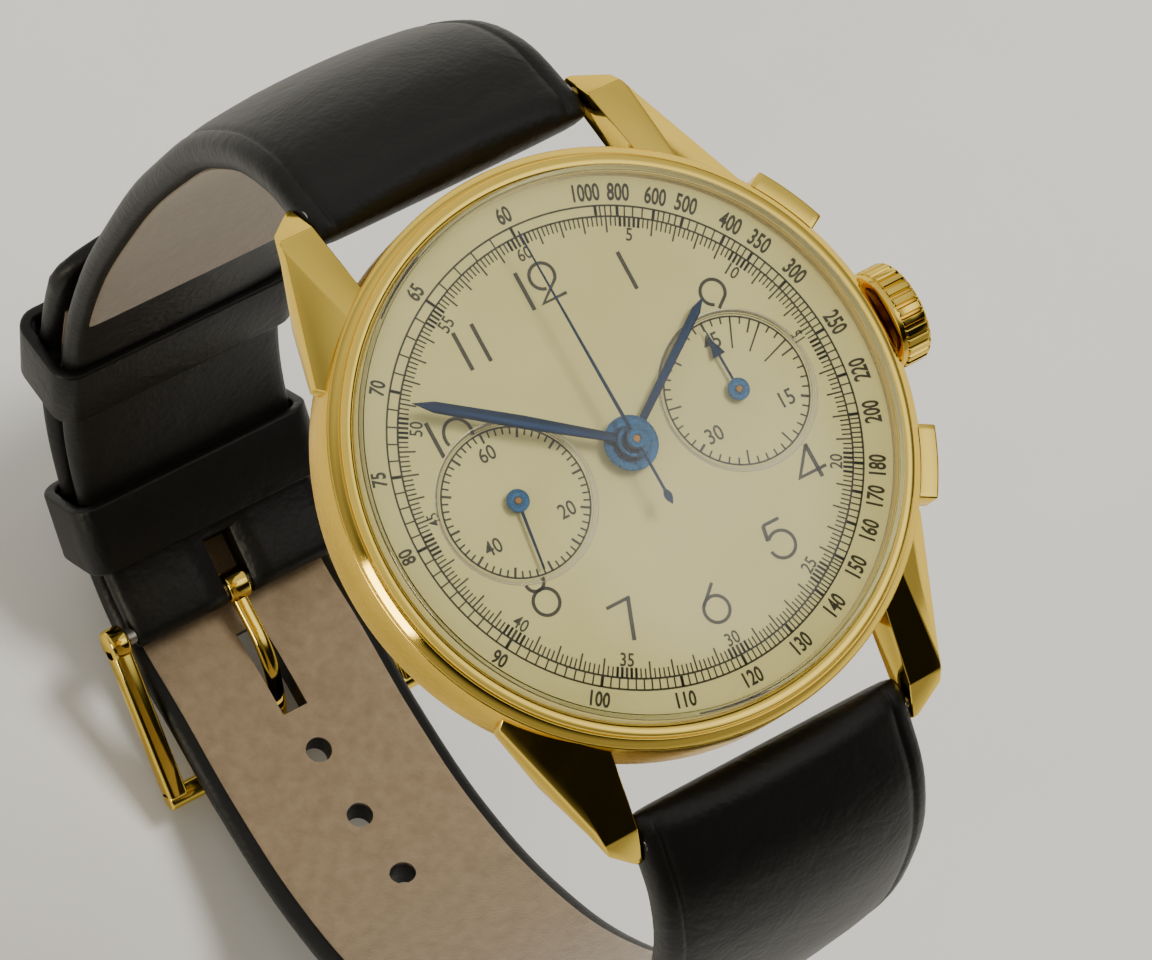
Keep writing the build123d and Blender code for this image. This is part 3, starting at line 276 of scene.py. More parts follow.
# Hardened steel let down to blue over a flame: deep blue skin on a polished face.
BLUED_STEEL = Finish("steel_flame_blued", "#16365E", "#122B4C", 0.9, (0.14, 0.24), 0.4, 0.0005)
# The same blue a shade lighter, where the flat tops of the bosses face the light.
BLUED_BOSS = Finish("steel_flame_blued_light", "#2B6596", "#245681", 0.9, (0.24, 0.34), 0.1,
                    0.0003)
# The slant cut round each sunk small dial: the same silvering, left bright by the cutter.
CUT_SILVER = Finish("silvered_bevel_cut", "#E9E0BC", "#DDD3AB", 0.9, (0.18, 0.28), 0.2, 0.0005)
# Turned brass of the hand arbors: warm and slightly dull.
TURNED_BRASS = Finish("brass_turned", "#BD8A3E", "#8E5E26", 1.0, (0.22, 0.34), 0.10, 0.001,
                      Pattern.ROUND)
# Nickelled steel of pins and screws: fine ground, cool grey.
GROUND_STEEL = Finish("steel_ground", "#B9B8B4", "#A3A29E", 1.0, (0.25, 0.38), 0.10, 0.0015)
# Brass plates grained and fire-gilt: frosty pale gold.
GILT_BRASS = Finish("brass_frosted_gilt", "#D9B878", "#CDA864", 1.0, (0.36, 0.52), 0.15, 0.003)
# Nitrile rubber ring, moulded: matt black.
MOULDED_RUBBER = Finish("rubber_moulded", "#1B1B1B", "#242424", 0.0, (0.55, 0.75), 0.3, 0.004)
# Drum-dyed calf with a closed grain, glazed: black with a soft sheen, fine pores and light
# creases.
BLACK_CALF = Finish("calf_leather_black_glazed", "#060605", "#0C0B09", 0.0, (0.27, 0.44), 0.38,
                    0.034, Pattern.PORES, specular=0.32, patch=3.0)
# Nubuck lining, sanded grain side: taupe, matt, with a short nap that catches light at a slant.
TAUPE_NUBUCK = Finish("nubuck_lining_taupe", "#85735A", "#67563F", 0.0, (0.85, 0.97), 0.22, 0.05,
                      Pattern.NAP, sheen=0.35, patch=0.9)
# Poly-methyl-methacrylate turned and polished by hand: clear with a breath of warmth.
CLEAR_ACRYLIC = ClearFinish("acrylic_polished_clear", "#FBFAF4", "#FBFAF4", 0.0,
                            (0.004, 0.004), 9.0, 0.0006)

# Heavy uncoated paper under the watch: matt and evenly pale.
PALE_PAPER = Finish("paper_pale_matt", "#D6D4CF", "#D2D0CB", 0.0, (0.8, 0.9), 0.8, 0.01)


# ---- scene and mesh data ---------------------------------------------------------------
def shown(name: str, data: bpy.types.ID) -> bpy.types.Object:
    """Puts a mesh, curve, light or camera into the scene as an object."""
    holder = bpy.data.objects.new(name, data)
    bpy.context.scene.collection.objects.link(holder)
    return holder


def as_mesh(shape: bmesh.types.BMesh, name: str) -> bpy.types.Mesh:
    """Returns a shape as mesh data, and frees the shape."""
    mesh = bpy.data.meshes.new(name)
    shape.to_mesh(mesh)
    shape.free()
    return mesh


def flattened(line: bpy.types.Curve) -> bpy.types.Mesh:
    """Returns the mesh that a curve or type draws, and drops the curve."""
    holder = shown(line.name, line)
    bpy.context.view_layer.update()
    mesh = bpy.data.meshes.new_from_object(holder)
    bpy.data.objects.remove(holder)
    bpy.data.curves.remove(line)
    return mesh


# ---- shapes ----------------------------------------------------------------------------
def all_of(shape: bmesh.types.BMesh) -> list:
    """Lists every vertex, edge and face of a shape."""
    return list(shape.verts) + list(shape.edges) + list(shape.faces)


def verts_among(geometry: Iterable) -> list[bmesh.types.BMVert]:
    """Picks the vertices out of what an operator made."""
    return [item for item in geometry if isinstance(item, bmesh.types.BMVert)]


def next_ring(shape: bmesh.types.BMesh, ring: list[bmesh.types.BMVert]
              ) -> list[bmesh.types.BMVert]:
    """Draws a closed ring of vertices out into a new one.

    Args:
        shape: The shape that grows.
        ring: Its last ring, in order.

    Returns:
        The new ring in the same order, still in the old one's place.
    """
    edges = [shape.edges.get(pair) for pair in zip(ring, ring[1:] + ring[:1])]
    fresh = verts_among(bmesh.ops.extrude_edge_only(shape, edges=edges)["geom"])
    return [min(fresh, key=lambda vert: (vert.co - old.co).length) for old in ring]


def round_over(shape: bmesh.types.BMesh, edges: list[bmesh.types.BMEdge], width: float,
               segments: int) -> None:
    """Rounds the given edges of a shape."""
    bmesh.ops.bevel(shape, geom=edges, offset=width, offset_type="OFFSET", segments=segments,
                    profile=0.5, affect="EDGES", material=-1, clamp_overlap=True)


def recalculated(shape: bmesh.types.BMesh) -> bmesh.types.BMesh:
    """Returns the shape with its doubles merged and its faces pointing outwards."""
    bmesh.ops.remove_doubles(shape, verts=shape.verts, dist=1e-4)
    bmesh.ops.dissolve_degenerate(shape, edges=shape.edges, dist=1e-5)
    bmesh.ops.recalc_face_normals(shape, faces=shape.faces)
    return shape


def lathe(profile: Sequence[Point], steps: int = 144, closed: bool = True) -> bmesh.types.BMesh:
    """Turns a profile about the upright axis.

    Args:
        profile: Radius and height of each point, in order.
        steps: Number of facets round the axis.
        closed: True for a ring; False for a solid whose profile starts and ends on the axis.

    Returns:
        The turned shape.
    """
    shape = bmesh.new()
    dots = [shape.verts.new((radius, 0, height)) for radius, height in profile]
    pairs = list(zip(dots, dots[1:]))
    if closed:
        pairs.append((dots[-1], dots[0]))
    edges = [shape.edges.new(pair) for pair in pairs]
    bmesh.ops.spin(shape, geom=dots + edges, cent=(0, 0, 0), axis=(0, 0, 1), angle=2 * math.pi,
                   steps=steps, use_merge=True, use_duplicate=False)
    return recalculated(shape)


def plate(outline: Sequence[Point], low: float, high: float) -> bmesh.types.BMesh:
    """Raises a flat outline into a plate.

    Args:
        outline: Corners of the plate seen from above.
        low: Height of the underside.
        high: Height of the top.

    Returns:
        The plate.
    """
    shape = bmesh.new()
    base = shape.faces.new([shape.verts.new((x, y, low)) for x, y in outline])
    tops = verts_among(bmesh.ops.extrude_face_region(shape, geom=[base])["geom"])
    bmesh.ops.translate(shape, verts=tops, vec=(0, 0, high - low))
    return recalculated(shape)


def block(size: Sequence[float], centre: Sequence[float]) -> bmesh.types.BMesh:
    """Makes a block of a size about a centre."""
    shape = bmesh.new()
    bmesh.ops.create_cube(shape, size=1.0)
    bmesh.ops.scale(shape, vec=size, verts=shape.verts)
    bmesh.ops.translate(shape, vec=centre, verts=shape.verts)
    return shape


def rod(radius: float, start: float, end: float, y: float = 0.0, z: float = 0.0,
        facets: int = 48) -> bmesh.types.BMesh:
    """Makes a round rod along X between two places."""
    shape = bmesh.new()
    bmesh.ops.create_cone(shape, cap_ends=True, segments=facets, radius1=radius, radius2=radius,
                          depth=end - start)
    turn = Matrix.Translation(((start + end) / 2, y, z)) @ Matrix.Rotation(math.pi / 2, 4, "Y")
    bmesh.ops.transform(shape, matrix=turn, verts=shape.verts)
    return shape


def soften(shape: bmesh.types.BMesh, width: float, segments: int = 2,
           above: float = 28.0) -> bmesh.types.BMesh:
    """Rounds the sharp edges of a shape.

    Args:
        shape: The shape, which is changed.
        width: Width of the rounding.
        segments: Number of facets across it.
        above: Angle between two faces, in degrees, past which an edge is sharp.

    Returns:
        The same shape.
    """
    least = math.radians(above)
    sharp = [e for e in shape.edges if e.is_manifold and e.calc_face_angle(0) > least]
    round_over(shape, sharp, width, segments)
    return shape


def cut_away(shape: bmesh.types.BMesh, spot: Sequence[float], normal: Sequence[float]) -> None:
    """Cuts off the side of a closed shape that a plane's normal points to, and closes the cut."""
    made = bmesh.ops.bisect_plane(shape, geom=all_of(shape), dist=1e-5, plane_co=spot,
                                  plane_no=normal, clear_outer=True)["geom_cut"]
    rim = [item for item in made if isinstance(item, bmesh.types.BMEdge)]
    bmesh.ops.contextual_create(shape, geom=rim)


def together(*shapes: bmesh.types.BMesh) -> bmesh.types.BMesh:
    """Puts several shapes into one."""
    whole = bmesh.new()
    for shape in shapes:
        passing = as_mesh(shape, "passing")
        whole.from_mesh(passing)
        bpy.data.meshes.remove(passing)
    return whole


def moved(shape: bmesh.types.BMesh, matrix: Matrix) -> bmesh.types.BMesh:
    """Returns the shape after a transform, with its faces still outwards."""
    bmesh.ops.transform(shape, matrix=matrix, verts=shape.verts)
    if matrix.determinant() < 0:
        bmesh.ops.reverse_faces(shape, faces=shape.faces)
    return shape


def stroke(points: Sequence[Point], width: float, height: float) -> bmesh.types.BMesh:
    """Draws a flat line of even width through points.

    Args:
        points: Places along the middle of the line.
        width: Width of the line.
        height: Height of the printed face.

    Returns:
        The line as a strip that faces up.
    """
    spots = [Vector((x, y, height)) for x, y in points]
    shape = bmesh.new()
    dots = [shape.verts.new(spot) for spot in spots]
    edges = [shape.edges.new(pair) for pair in zip(dots, dots[1:])]
    twins = verts_among(bmesh.ops.extrude_edge_only(shape, edges=edges)["geom"])
    for index, spot in enumerate(spots):
        ahead = spots[min(index + 1, len(spots) - 1)] - spot
        behind = spot - spots[max(index - 1, 0)]
        runs = [run.normalized() for run in (behind, ahead) if run.length > 0]
        heading = sum(runs, Vector()).normalized()
        side = Vector((-heading.y, heading.x, 0)) * (width / 2 / max(0.5, heading.dot(runs[0])))
        twin = min(twins, key=lambda vert: (vert.co - spot).length)
        twins.remove(twin)
        dots[index].co = spot + side
        twin.co = spot - side
    bmesh.ops.recalc_face_normals(shape, faces=shape.faces)
    if shape.faces and sum(face.normal.z for face in shape.faces) < 0:
        bmesh.ops.reverse_faces(shape, faces=shape.faces)
    return shape


def arc(centre: Point, radius: float, start: float, end: float, count: int = 28) -> list[Point]:
    """Lists points along an arc, from one angle to another in degrees."""
    angles = [math.radians(start + (end - start) * i / count) for i in range(count + 1)]
    return [(centre[0] + radius * math.cos(a), centre[1] + radius * math.sin(a)) for a in angles]


def sweep(section: Sequence[Point], stations: Sequence[tuple[Vector, Vector, float, float]]
          ) -> bmesh.types.BMesh:
    """Draws a closed section along stations that lie in the plane across X.

    Args:
        section: Unit section: share of the half width and of the half thickness.
        stations: Centre, outward side, half width and half thickness at each station.

    Returns:
        The swept solid, closed at both ends.
    """
    shape = bmesh.new()
    ring = list(bmesh.ops.create_circle(shape, segments=len(section), radius=1.0)["verts"])
    for index, (centre, side, width, thick) in enumerate(stations):
        if index:
            ring = next_ring(shape, ring)
        for vert, (across, out) in zip(ring, section):
            vert.co = centre + Vector((across * width, 0, 0)) + side * (out * thick)
    bmesh.ops.holes_fill(shape, edges=shape.edges, sides=0)
    bmesh.ops.recalc_face_normals(shape, faces=shape.faces)
    return shape


def smooth_path(points: Sequence[Point], fine: int = 6) -> list[Vector]:
    """Lists points along a smooth line through a few places in the plane across X.

    Args:
        points: Y and Z of each place.
        fine: Number of steps between two places.

    Returns:
        The points of the line.
    """
    line = bpy.data.curves.new("path", "CURVE")
    line.dimensions = "3D"
    line.resolution_u = fine
    run = line.splines.new("BEZIER")
    run.bezier_points.add(len(points) - 1)
    for knot, (y, z) in zip(run.bezier_points, points):
        knot.co = (0, y, z)
        knot.handle_left_type = knot.handle_right_type = "AUTO"
    mesh = flattened(line)
    spots = [vert.co.copy() for vert in mesh.vertices]
    bpy.data.meshes.remove(mesh)
    return spots


def rounded_section(count: int, across: float, out: float) -> list[Point]:
    """Draws a closed unit section between a round one and a square one.

    Args:
        count: Number of its corners.
        across: How round it is across, from 1 for a circle down to 0 for a block.
        out: The same through its thickness.

    Returns:
        Shares of the half width and half thickness round the section.
    """
    angles = (2 * math.pi * (i + 0.5) / count for i in range(count))
    return [(math.copysign(abs(math.cos(a)) ** across, math.cos(a)),
             math.copysign(abs(math.sin(a)) ** out, math.sin(a))) for a in angles]


def lettering(text: str, height: float, narrow: float, weight: float = 0.0) -> bpy.types.Mesh:
    """Sets a number in plain sans type, centred on the origin.

    Args:
        text: The digits.
        height: Height of the digits in millimetres.
        narrow: Width as a share of the type's own width.
        weight: How much the strokes are thickened, as a share of the type size.

    Returns:
        A flat mesh that faces up.
    """
    line = bpy.data.curves.new("type", "FONT")
    line.body = text
    line.resolution_u = 3
    line.offset = weight
    line.size = 1.0
    mesh = flattened(line)
    xs = [vert.co.x for vert in mesh.vertices]
    ys = [vert.co.y for vert in mesh.vertices]
    size = height / (max(ys) - min(ys))
    mesh.transform(Matrix.Translation((-(max(xs) + min(xs)) / 2, -(max(ys) + min(ys)) / 2, 0)))
    mesh.transform(Matrix.Diagonal((size * narrow, size, 1, 1)))
    return mesh


def carve(piece: bpy.types.Object, cutters: Iterable[bmesh.types.BMesh]) -> None:
    """Cuts shapes out of a finished piece.

    Args:
        piece: The piece, in metres.
        cutters: The shapes to take away, in millimetres.
    """
    for shape in cutters:
        bmesh.ops.scale(shape, vec=(MM, MM, MM), verts=shape.verts)
        tool = shown("cutter", as_mesh(shape, "cutter"))
        step = piece.modifiers.new("cut", "BOOLEAN")
        step.operation = "DIFFERENCE"
        step.solver = "EXACT"
        step.object = tool
        bpy.context.view_layer.update()
        solid = bpy.data.meshes.new_from_object(piece.evaluated_get(
            bpy.context.evaluated_depsgraph_get()))
        piece.modifiers.clear()
        old = piece.data
        piece.data = solid
        solid.name = old.name
        bpy.data.meshes.remove(old)
        bpy.data.objects.remove(tool)


# ---- sub-assemblies ------------------------------------------------------------------------
@dataclass
class SubAssembly:
    """A group of pieces that are made together."""

    title: str = "pieces"

    def add(self, shape: bmesh.types.BMesh, name: str, body: str, finishes: Sequence[Finish],
            slot: str, stands_for: Sequence[str] = (), sharp: float = 32.0) -> bpy.types.Object:
        """Turns a shape into a finished piece of the watch.

        Args:
            shape: The shape in millimetres, which is used up.
            name: Name of the piece.
            body: The moving body that it rides on.
            finishes: Its finishes, in the order of its faces' material numbers.
            slot: The record's material slot. Not used.
            stands_for: The CAD nodes that it replaces.
            sharp: Angle in degrees past which an edge is shaded sharp.

        Returns:
            The piece.
        """
        bmesh.ops.scale(shape, vec=(MM, MM, MM), verts=shape.verts)
        for face in shape.faces:
            face.smooth = True
        mesh = as_mesh(shape, name)
        for finish in finishes:
            mesh.materials.append(finish.material())
        mesh.set_sharp_from_angle(angle=math.radians(sharp))
        piece = shown(name, mesh)
        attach(piece, body)
        if stands_for:
            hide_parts(*stands_for)
        LOG.info("%s: %s with %d faces on %s", self.title, name, len(mesh.polygons), body)
        return piece

    def build(self) -> None:
        """Makes every piece of the group."""
        raise NotImplementedError


@dataclass
class Case(SubAssembly):
    """Case middle with its lugs, the bezel, the crystal and the back."""

    title: str = "case"
    radius: float = 17.5
    low: float = 2.3
    high: float = 6.7
    bore: float = 14.6
    back_bore: float = 16.3
    dial_bore: float = 16.1
    lug_inner: float = 9.3
    lug_tip: float = 21.0
    shelf_low: float = 3.7      # underside of the ring that holds the movement
    shelf_high: float = 6.1     # its top, which carries the dial

    def middle(self) -> bmesh.types.BMesh:
        """Turns the flank with its ledges for dial, gasket and back."""
        edge = self.radius
        profile = (
            (self.bore, self.shelf_low), (self.back_bore, self.shelf_low),
            (self.back_bore, self.low), (edge - 0.25, self.low), (edge, self.low + 0.35),
            (edge, self.high - 0.06), (edge - 0.07, self.high), (self.dial_bore, self.high),
            (self.dial_bore, self.shelf_high), (self.bore, self.shelf_high),
        )
        return soften(lathe(profile, 192), 0.03)

    def lug(self) -> bmesh.types.BMesh:
        """Cuts the upper right lug to its facets."""
        plan = ((self.lug_inner, 13.75), (self.lug_inner, self.lug_tip), (11.15, self.lug_tip),
                (11.8, 18.35), (14.4, 10.8), (13.65, 9.85))
        shape = plate(plan, 0.3, self.high - 0.05)
        facets = (
            ((0, 14.6, 6.1), (0, 0.5, 1.0)),                    # large top facet
            ((11.8, 18.35, 4.04), (12.62, 7.56, 17.83)),        # outer facet of the top
            ((0, 19.3, 3.75), (0, 1.1, 1.0)),                   # fall to the tip
            ((0, 16.0, 2.3), (0, -0.36, -1.0)),                 # underside
            ((11.8, 18.35, 2.9), (1.0, 0.35, -1.1)),            # outer facet underneath
            ((0, 20.85, 0.7), (0, 1.0, -1.2)),                  # under the tip
        )
        for spot, normal in facets:
            cut_away(shape, spot, normal)
        corner = [e for e in shape.edges
                  if all(v.co.x > 11.0 and v.co.y > 20.4 for v in e.verts)]
        round_over(shape, corner, 0.5, 4)
        recalculated(shape)
        for face in shape.faces:
            face.material_index = 1
        return soften(shape, 0.19, 3, 10)

    def lugs(self) -> list[bmesh.types.BMesh]:
        """Mirrors the lug to all four corners."""
        return [moved(self.lug(), Matrix.Diagonal((side_x, side_y, 1, 1)))
                for side_x in (1, -1) for side_y in (1, -1)]

    def openings(self) -> list[bmesh.types.BMesh]:
        """Lists the pusher pockets and the hole of the crown tube."""
        shapes = [rod(1.02, 15.0, 19.0, 0.0, 4.5)]
        for angle in PUSHER_ANGLES:
            pocket = block((2.85, 4.54, 2.17), (17.575, 0, PUSHER_HEIGHT))
            shapes.append(moved(pocket, Matrix.Rotation(math.radians(angle), 4, "Z")))
        return shapes

    def bezel(self) -> bmesh.types.BMesh:
        """Turns the bezel: outer slope, fine step and rounded inner bead."""
        slope = [(16.1, self.high), (17.42, self.high), (17.43, 6.8), (16.95, 7.2),
                 (16.90, 7.17), (16.86, 7.17)]
        bead = [(16.84, 7.32), (16.79, 7.39), (16.68, 7.425), (16.58, 7.438), (16.47, 7.44),
                (16.36, 7.436), (16.26, 7.42), (16.16, 7.38), (16.11, 7.31), (16.10, 7.17)]
        return soften(lathe(slope + bead, 192), 0.015, 1, 40)

    def crystal(self) -> bmesh.types.BMesh:
        """Turns the domed crystal, a shell that rises inside the bezel."""
        inner = [(0, 10.0), (2.5, 9.98), (5.0, 9.90), (7.2, 9.76), (9.3, 9.56), (11.0, 9.30),
                 (12.4, 9.02), (13.4, 8.77), (14.3, 8.49), (15.0, 8.19), (15.48, 7.94),
                 (15.6, 7.84), (15.64, 7.7), (15.64, 6.53)]
        outer = [(16.05, 6.53), (16.05, 7.98), (16.03, 8.08), (15.97, 8.16), (15.88, 8.22),
                 (15.4, 8.5), (14.6, 8.93), (13.7, 9.27), (12.6, 9.56), (11.1, 9.88),
                 (9.4, 10.15), (7.3, 10.36), (5.0, 10.5), (2.5, 10.58), (0, 10.6)]
        return lathe(inner + outer, 160, closed=False)

    def back(self) -> bmesh.types.BMesh:
        """Turns the snap back, flat in the middle and rounded at its edge."""
        profile = ((0, 0), (12.6, 0), (13.7, 0.1), (14.6, 0.35), (15.5, 0.72), (16.2, 1.1),
                   (16.7, 1.65), (17.0, 2.28), (16.25, 2.28), (16.25, 3.3), (15.3, 3.3),
                   (15.3, 2.2), (13.9, 1.0), (0, 1.0))
        return soften(lathe(profile, 144, closed=False), 0.05, 2, 35)

    def build(self) -> None:
        """Makes the case pieces."""
        middle = self.add(together(self.middle(), *self.lugs()), "case_middle_look", "case",
                          (BRUSHED_GOLD, POLISHED_GOLD), "gold_case", ("case_middle",), 20.0)
        carve(middle, self.openings())
        self.add(self.bezel(), "bezel_look", "case", (POLISHED_GOLD,), "gold_case", ("bezel",))
        self.add(self.crystal(), "crystal_look", "case", (CLEAR_ACRYLIC,), "acrylic", ("crystal",))
        self.add(self.back(), "case_back_look", "case", (BRUSHED_GOLD,), "gold_case",
                 ("case_back",))


@dataclass
class DialPrint(SubAssembly):
    """Scales and numerals printed on the dial."""

    title: str = "dial"
    ring_line: float = 0.0085       # widths of the lines in dial units
    fifth_line: float = 0.0068
    second_line: float = 0.0078
    small_ring: float = 0.325       # radius of a small dial's ring in dial units
    small_tick: float = 0.294       # where its short lines start
    parts: list[bmesh.types.BMesh] = field(default_factory=list, init=False)

    def ring(self, radius: float, width: float, centre: Point = (0, 0),
             level: float = DIAL_TOP) -> None:
        """Prints a circle.

        Args:
            radius: Radius of the line's middle in dial units.
            width: Width of the line in dial units.
            centre: Its centre in millimetres.
            level: Height of the printed face.
        """
        shape = bmesh.new()
        dots = [shape.verts.new(((radius + side * width / 2) * DIAL_UNIT, 0, level))
                for side in (-1, 1)]
        bmesh.ops.spin(shape, geom=dots + [shape.edges.new(dots)], cent=(0, 0, 0),
                       axis=(0, 0, 1), angle=2 * math.pi, steps=160, use_merge=True)
        bmesh.ops.translate(shape, vec=(*centre, 0), verts=shape.verts)
        self.face_up(shape)

    def face_up(self, shape: bmesh.types.BMesh) -> None:
        """Keeps a printed shape, turned to face the front."""
        shape.normal_update()
        turned = [face for face in shape.faces if face.normal.z < 0]
        bmesh.ops.reverse_faces(shape, faces=turned)
        self.parts.append(shape)

    def ticks(self, angles: Iterable[float], near: float, far: float, width: float,
              centre: Point = (0, 0), level: float = DIAL_TOP) -> None:
        """Prints short radial lines.

        Args:
            angles: Clock angles in degrees.
            near: Radius of their inner ends in dial units.
            far: Radius of their outer ends in dial units.
            width: Their width in dial units.
            centre: The middle of the scale in millimetres.
            level: Height of the printed face.
        """
        shape = bmesh.new()
        size = Matrix.Diagonal((width * DIAL_UNIT, (far - near) * DIAL_UNIT, 1, 1))
        lift = Matrix.Translation((0, (near + far) / 2 * DIAL_UNIT, 0))
        for angle in angles:
            turn = Matrix.Rotation(math.radians(-angle), 4, "Z")
            place = Matrix.Translation((*centre, level)) @ turn @ lift @ size
            bmesh.ops.create_grid(shape, x_segments=1, y_segments=1, size=0.5, matrix=place)
        self.face_up(shape)

    def number(self, text: str, spot: Point, turn: float, height: float, narrow: float,
               level: float = DIAL_TOP, weight: float = 0.0) -> None:
        """Prints a number.

        Args:
            text: The digits.
            spot: Its centre in millimetres.
            turn: How far it leans clockwise, in degrees.
            height: Height of the digits in dial units.
            narrow: Width as a share of the type's own width.
            level: Height of the printed face.
            weight: How much the strokes are thickened.
        """
        mesh = lettering(text, height * DIAL_UNIT, narrow, weight)
        mesh.transform(Matrix.Translation((*spot, level))
                       @ Matrix.Rotation(math.radians(-turn), 4, "Z"))
        shape = bmesh.new()
        shape.from_mesh(mesh)
        bpy.data.meshes.remove(mesh)
        self.face_up(shape)

    def round_number(self, text: str, angle: float, radius: float, height: float, narrow: float,
                     inward: bool, weight: float = 0.0) -> None:
        """Prints a number of a ring, upright towards the rim or towards the centre."""
        spot = (radius * DIAL_UNIT * math.sin(math.radians(angle)),
                radius * DIAL_UNIT * math.cos(math.radians(angle)))
        turn = angle + 180 if inward else angle
        self.number(text, spot, turn, height, narrow, weight=weight)

    def line(self, points: Sequence[Point], width: float) -> None:
        """Prints one stroke of an hour numeral, given in dial units."""
        spots = [(x * DIAL_UNIT, y * DIAL_UNIT) for x, y in points]
        self.face_up(stroke(spots, width * DIAL_UNIT, DIAL_TOP))

    def seconds_scale(self) -> None:
        """Prints the ring of seconds and fifths with its numbers."""
        self.ring(1.0, self.ring_line)
        fifths = [i * 1.2 for i in range(300)]
        self.ticks([a for a in fifths if a % 6 > 0.1], 0.957, 1.0, self.fifth_line)
        self.ticks([i * 6.0 for i in range(60) if i % 5], 0.928, 1.0, self.second_line)
        self.ticks([i * 30.0 + d for i in range(12) for d in (-2.4, -1.2, 0, 1.2, 2.4)],
                   0.955, 1.0, 0.0115)
        for value in range(5, 65, 5):
            if value not in (15, 45):
                self.round_number(str(value), value * 6.0, 0.923, 0.058, 0.84,
                                  20 <= value <= 40, weight=0.014)
        for value, side in ((15, 1), (45, -1)):
            self.round_number(str(value), value * 6.0 - side * 5.5, 0.926, 0.052, 0.8,
                              value == 15, weight=0.006)

    def speed_scale(self) -> None:
        """Prints the speed scale over a base of one thousand metres."""
        outer = 1.046
        self.ring(outer, self.ring_line)
        steps = ((60, 150, 1), (150, 200, 2), (200, 300, 5), (300, 400, 10), (400, 600, 20),
                 (600, 1001, 50))
        angles = [21600.0 / v for low, high, step in steps for v in range(low, high, step)]
        self.ticks(angles + [21.6], 1.004, outer, self.fifth_line)
        upright = (60, 65, 70, 75, 80, 250, 300, 350, 400, 500, 600, 800, 1000)
        flipped = (90, 100, 110, 120, 130, 140, 150, 160, 170, 180, 200, 220)
        for value in upright + flipped:
            lean = {1000: -1.6, 800: 0.4}.get(value, 0.0)
            self.ticks([21600.0 / value], 1.004, outer, 0.014)
            self.round_number(str(value), 21600.0 / value % 360 + lean, 1.104, 0.076, 0.66,
                              value in flipped, weight=0.027)

    def hour_numerals(self) -> None:
        """Prints the slender hour numerals, cut where the small dials take their room."""
        bold, slim = 0.0185, 0.0150
        self.line([(-0.08, 0.689), (-0.08, 0.867)], bold)
        self.line(arc((0.022, 0.805), 0.057, 262, -38) + [(-0.03, 0.697), (0.086, 0.697)], slim)
        for x in (-0.453, -0.362, 0.376):
            self.line([(x, 0.577), (x, 0.756)], bold)
        self.line([(-0.751, 0.302), (-0.751, 0.467)], bold)
        self.line([(-0.647 + 0.062 * math.cos(math.radians(a)),
                    0.362 + 0.070 * math.sin(math.radians(a))) for a in range(-24, 210, 9)], slim)
        self.line(arc((0.673, 0.421), 0.056, 250, -42) + [(0.664, 0.346)], slim)
        self.line(arc((-0.655, -0.430), 0.058, 0, 360), slim)
        self.line(arc((-0.660, -0.333), 0.041, 176, 364), slim)
        self.line([(0.712, -0.340), (0.618, -0.455), (0.752, -0.455)], slim)
        self.line([(0.712, -0.335), (0.712, -0.492)], bold)
        self.line([(-0.436, -0.571), (-0.318, -0.571)], slim)
        self.line([(-0.328, -0.571), (-0.392, -0.742)], bold)
        self.line(arc((0.0, -0.785), 0.058, 0, 360), slim)
        self.line([(0.036, -0.677), (-0.046, -0.751)], slim)
        self.line([(0.443, -0.564), (0.362, -0.564)], slim)
        self.line([(0.363, -0.564), (0.350, -0.632)], bold)
        self.line(arc((0.401, -0.669), 0.060, 138, -172), slim)

    def rim(self) -> bmesh.types.BMesh:
        """Turns the bright slant cut round a small dial."""
        profile = ((4.44, 6.34), (4.47, 6.375), (4.66, 6.505), (4.74, 6.515), (4.78, 6.49))
        return lathe(profile, 120)

    def small_ticks(self, angles: Iterable[float], near: float, width: float,
                    centre: Point) -> None:
        """Prints radial lines that reach the ring of a small dial."""
        self.ticks(angles, near, self.small_ring, width, centre, SMALL_DIAL_FLOOR)

    def small_numbers(self, places: Sequence[tuple[str, float, float]], height: float,
                      centre: Point) -> None:
        """Prints upright numbers at places in dial units from a small dial's centre."""
        for text, x, y in places:
            spot = (centre[0] + x * DIAL_UNIT, y * DIAL_UNIT)
            self.number(text, spot, 0, height, 0.86, SMALL_DIAL_FLOOR, 0.012)

    def small_seconds(self) -> None:
        """Prints the running seconds dial on the left."""
        centre = (-SMALL_DIAL_X, 0.0)
        self.ring(self.small_ring, self.ring_line, centre, SMALL_DIAL_FLOOR)
        self.small_ticks([i * 6.0 for i in range(60) if i % 5], self.small_tick,
                         self.second_line, centre)
        self.small_ticks([i * 30.0 for i in range(12)], 0.280, 0.0110, centre)
        self.small_numbers((("60", -0.012, 0.237), ("20", 0.184, -0.124),
                            ("40", -0.184, -0.124)), 0.067, centre)

    def minute_counter(self) -> None:
        """Prints the 45-minute counter on the right, with long lines at 3, 6 and 9 minutes."""
        centre = (SMALL_DIAL_X, 0.0)
        self.ring(self.small_ring, self.ring_line, centre, SMALL_DIAL_FLOOR)
        self.small_ticks([i * 8.0 for i in range(45) if i % 5], self.small_tick,
                         self.second_line, centre)
        self.small_ticks([i * 40.0 for i in range(9) if i % 3], 0.262, self.ring_line, centre)
        self.small_ticks([0, 120, 240], 0.285, 0.012, centre)
        self.small_ticks([24, 48, 72], 0.185, 0.0075, centre)
        self.small_numbers((("45", 0.004, 0.235), ("15", 0.186, -0.124),
                            ("30", -0.186, -0.124)), 0.071, centre)

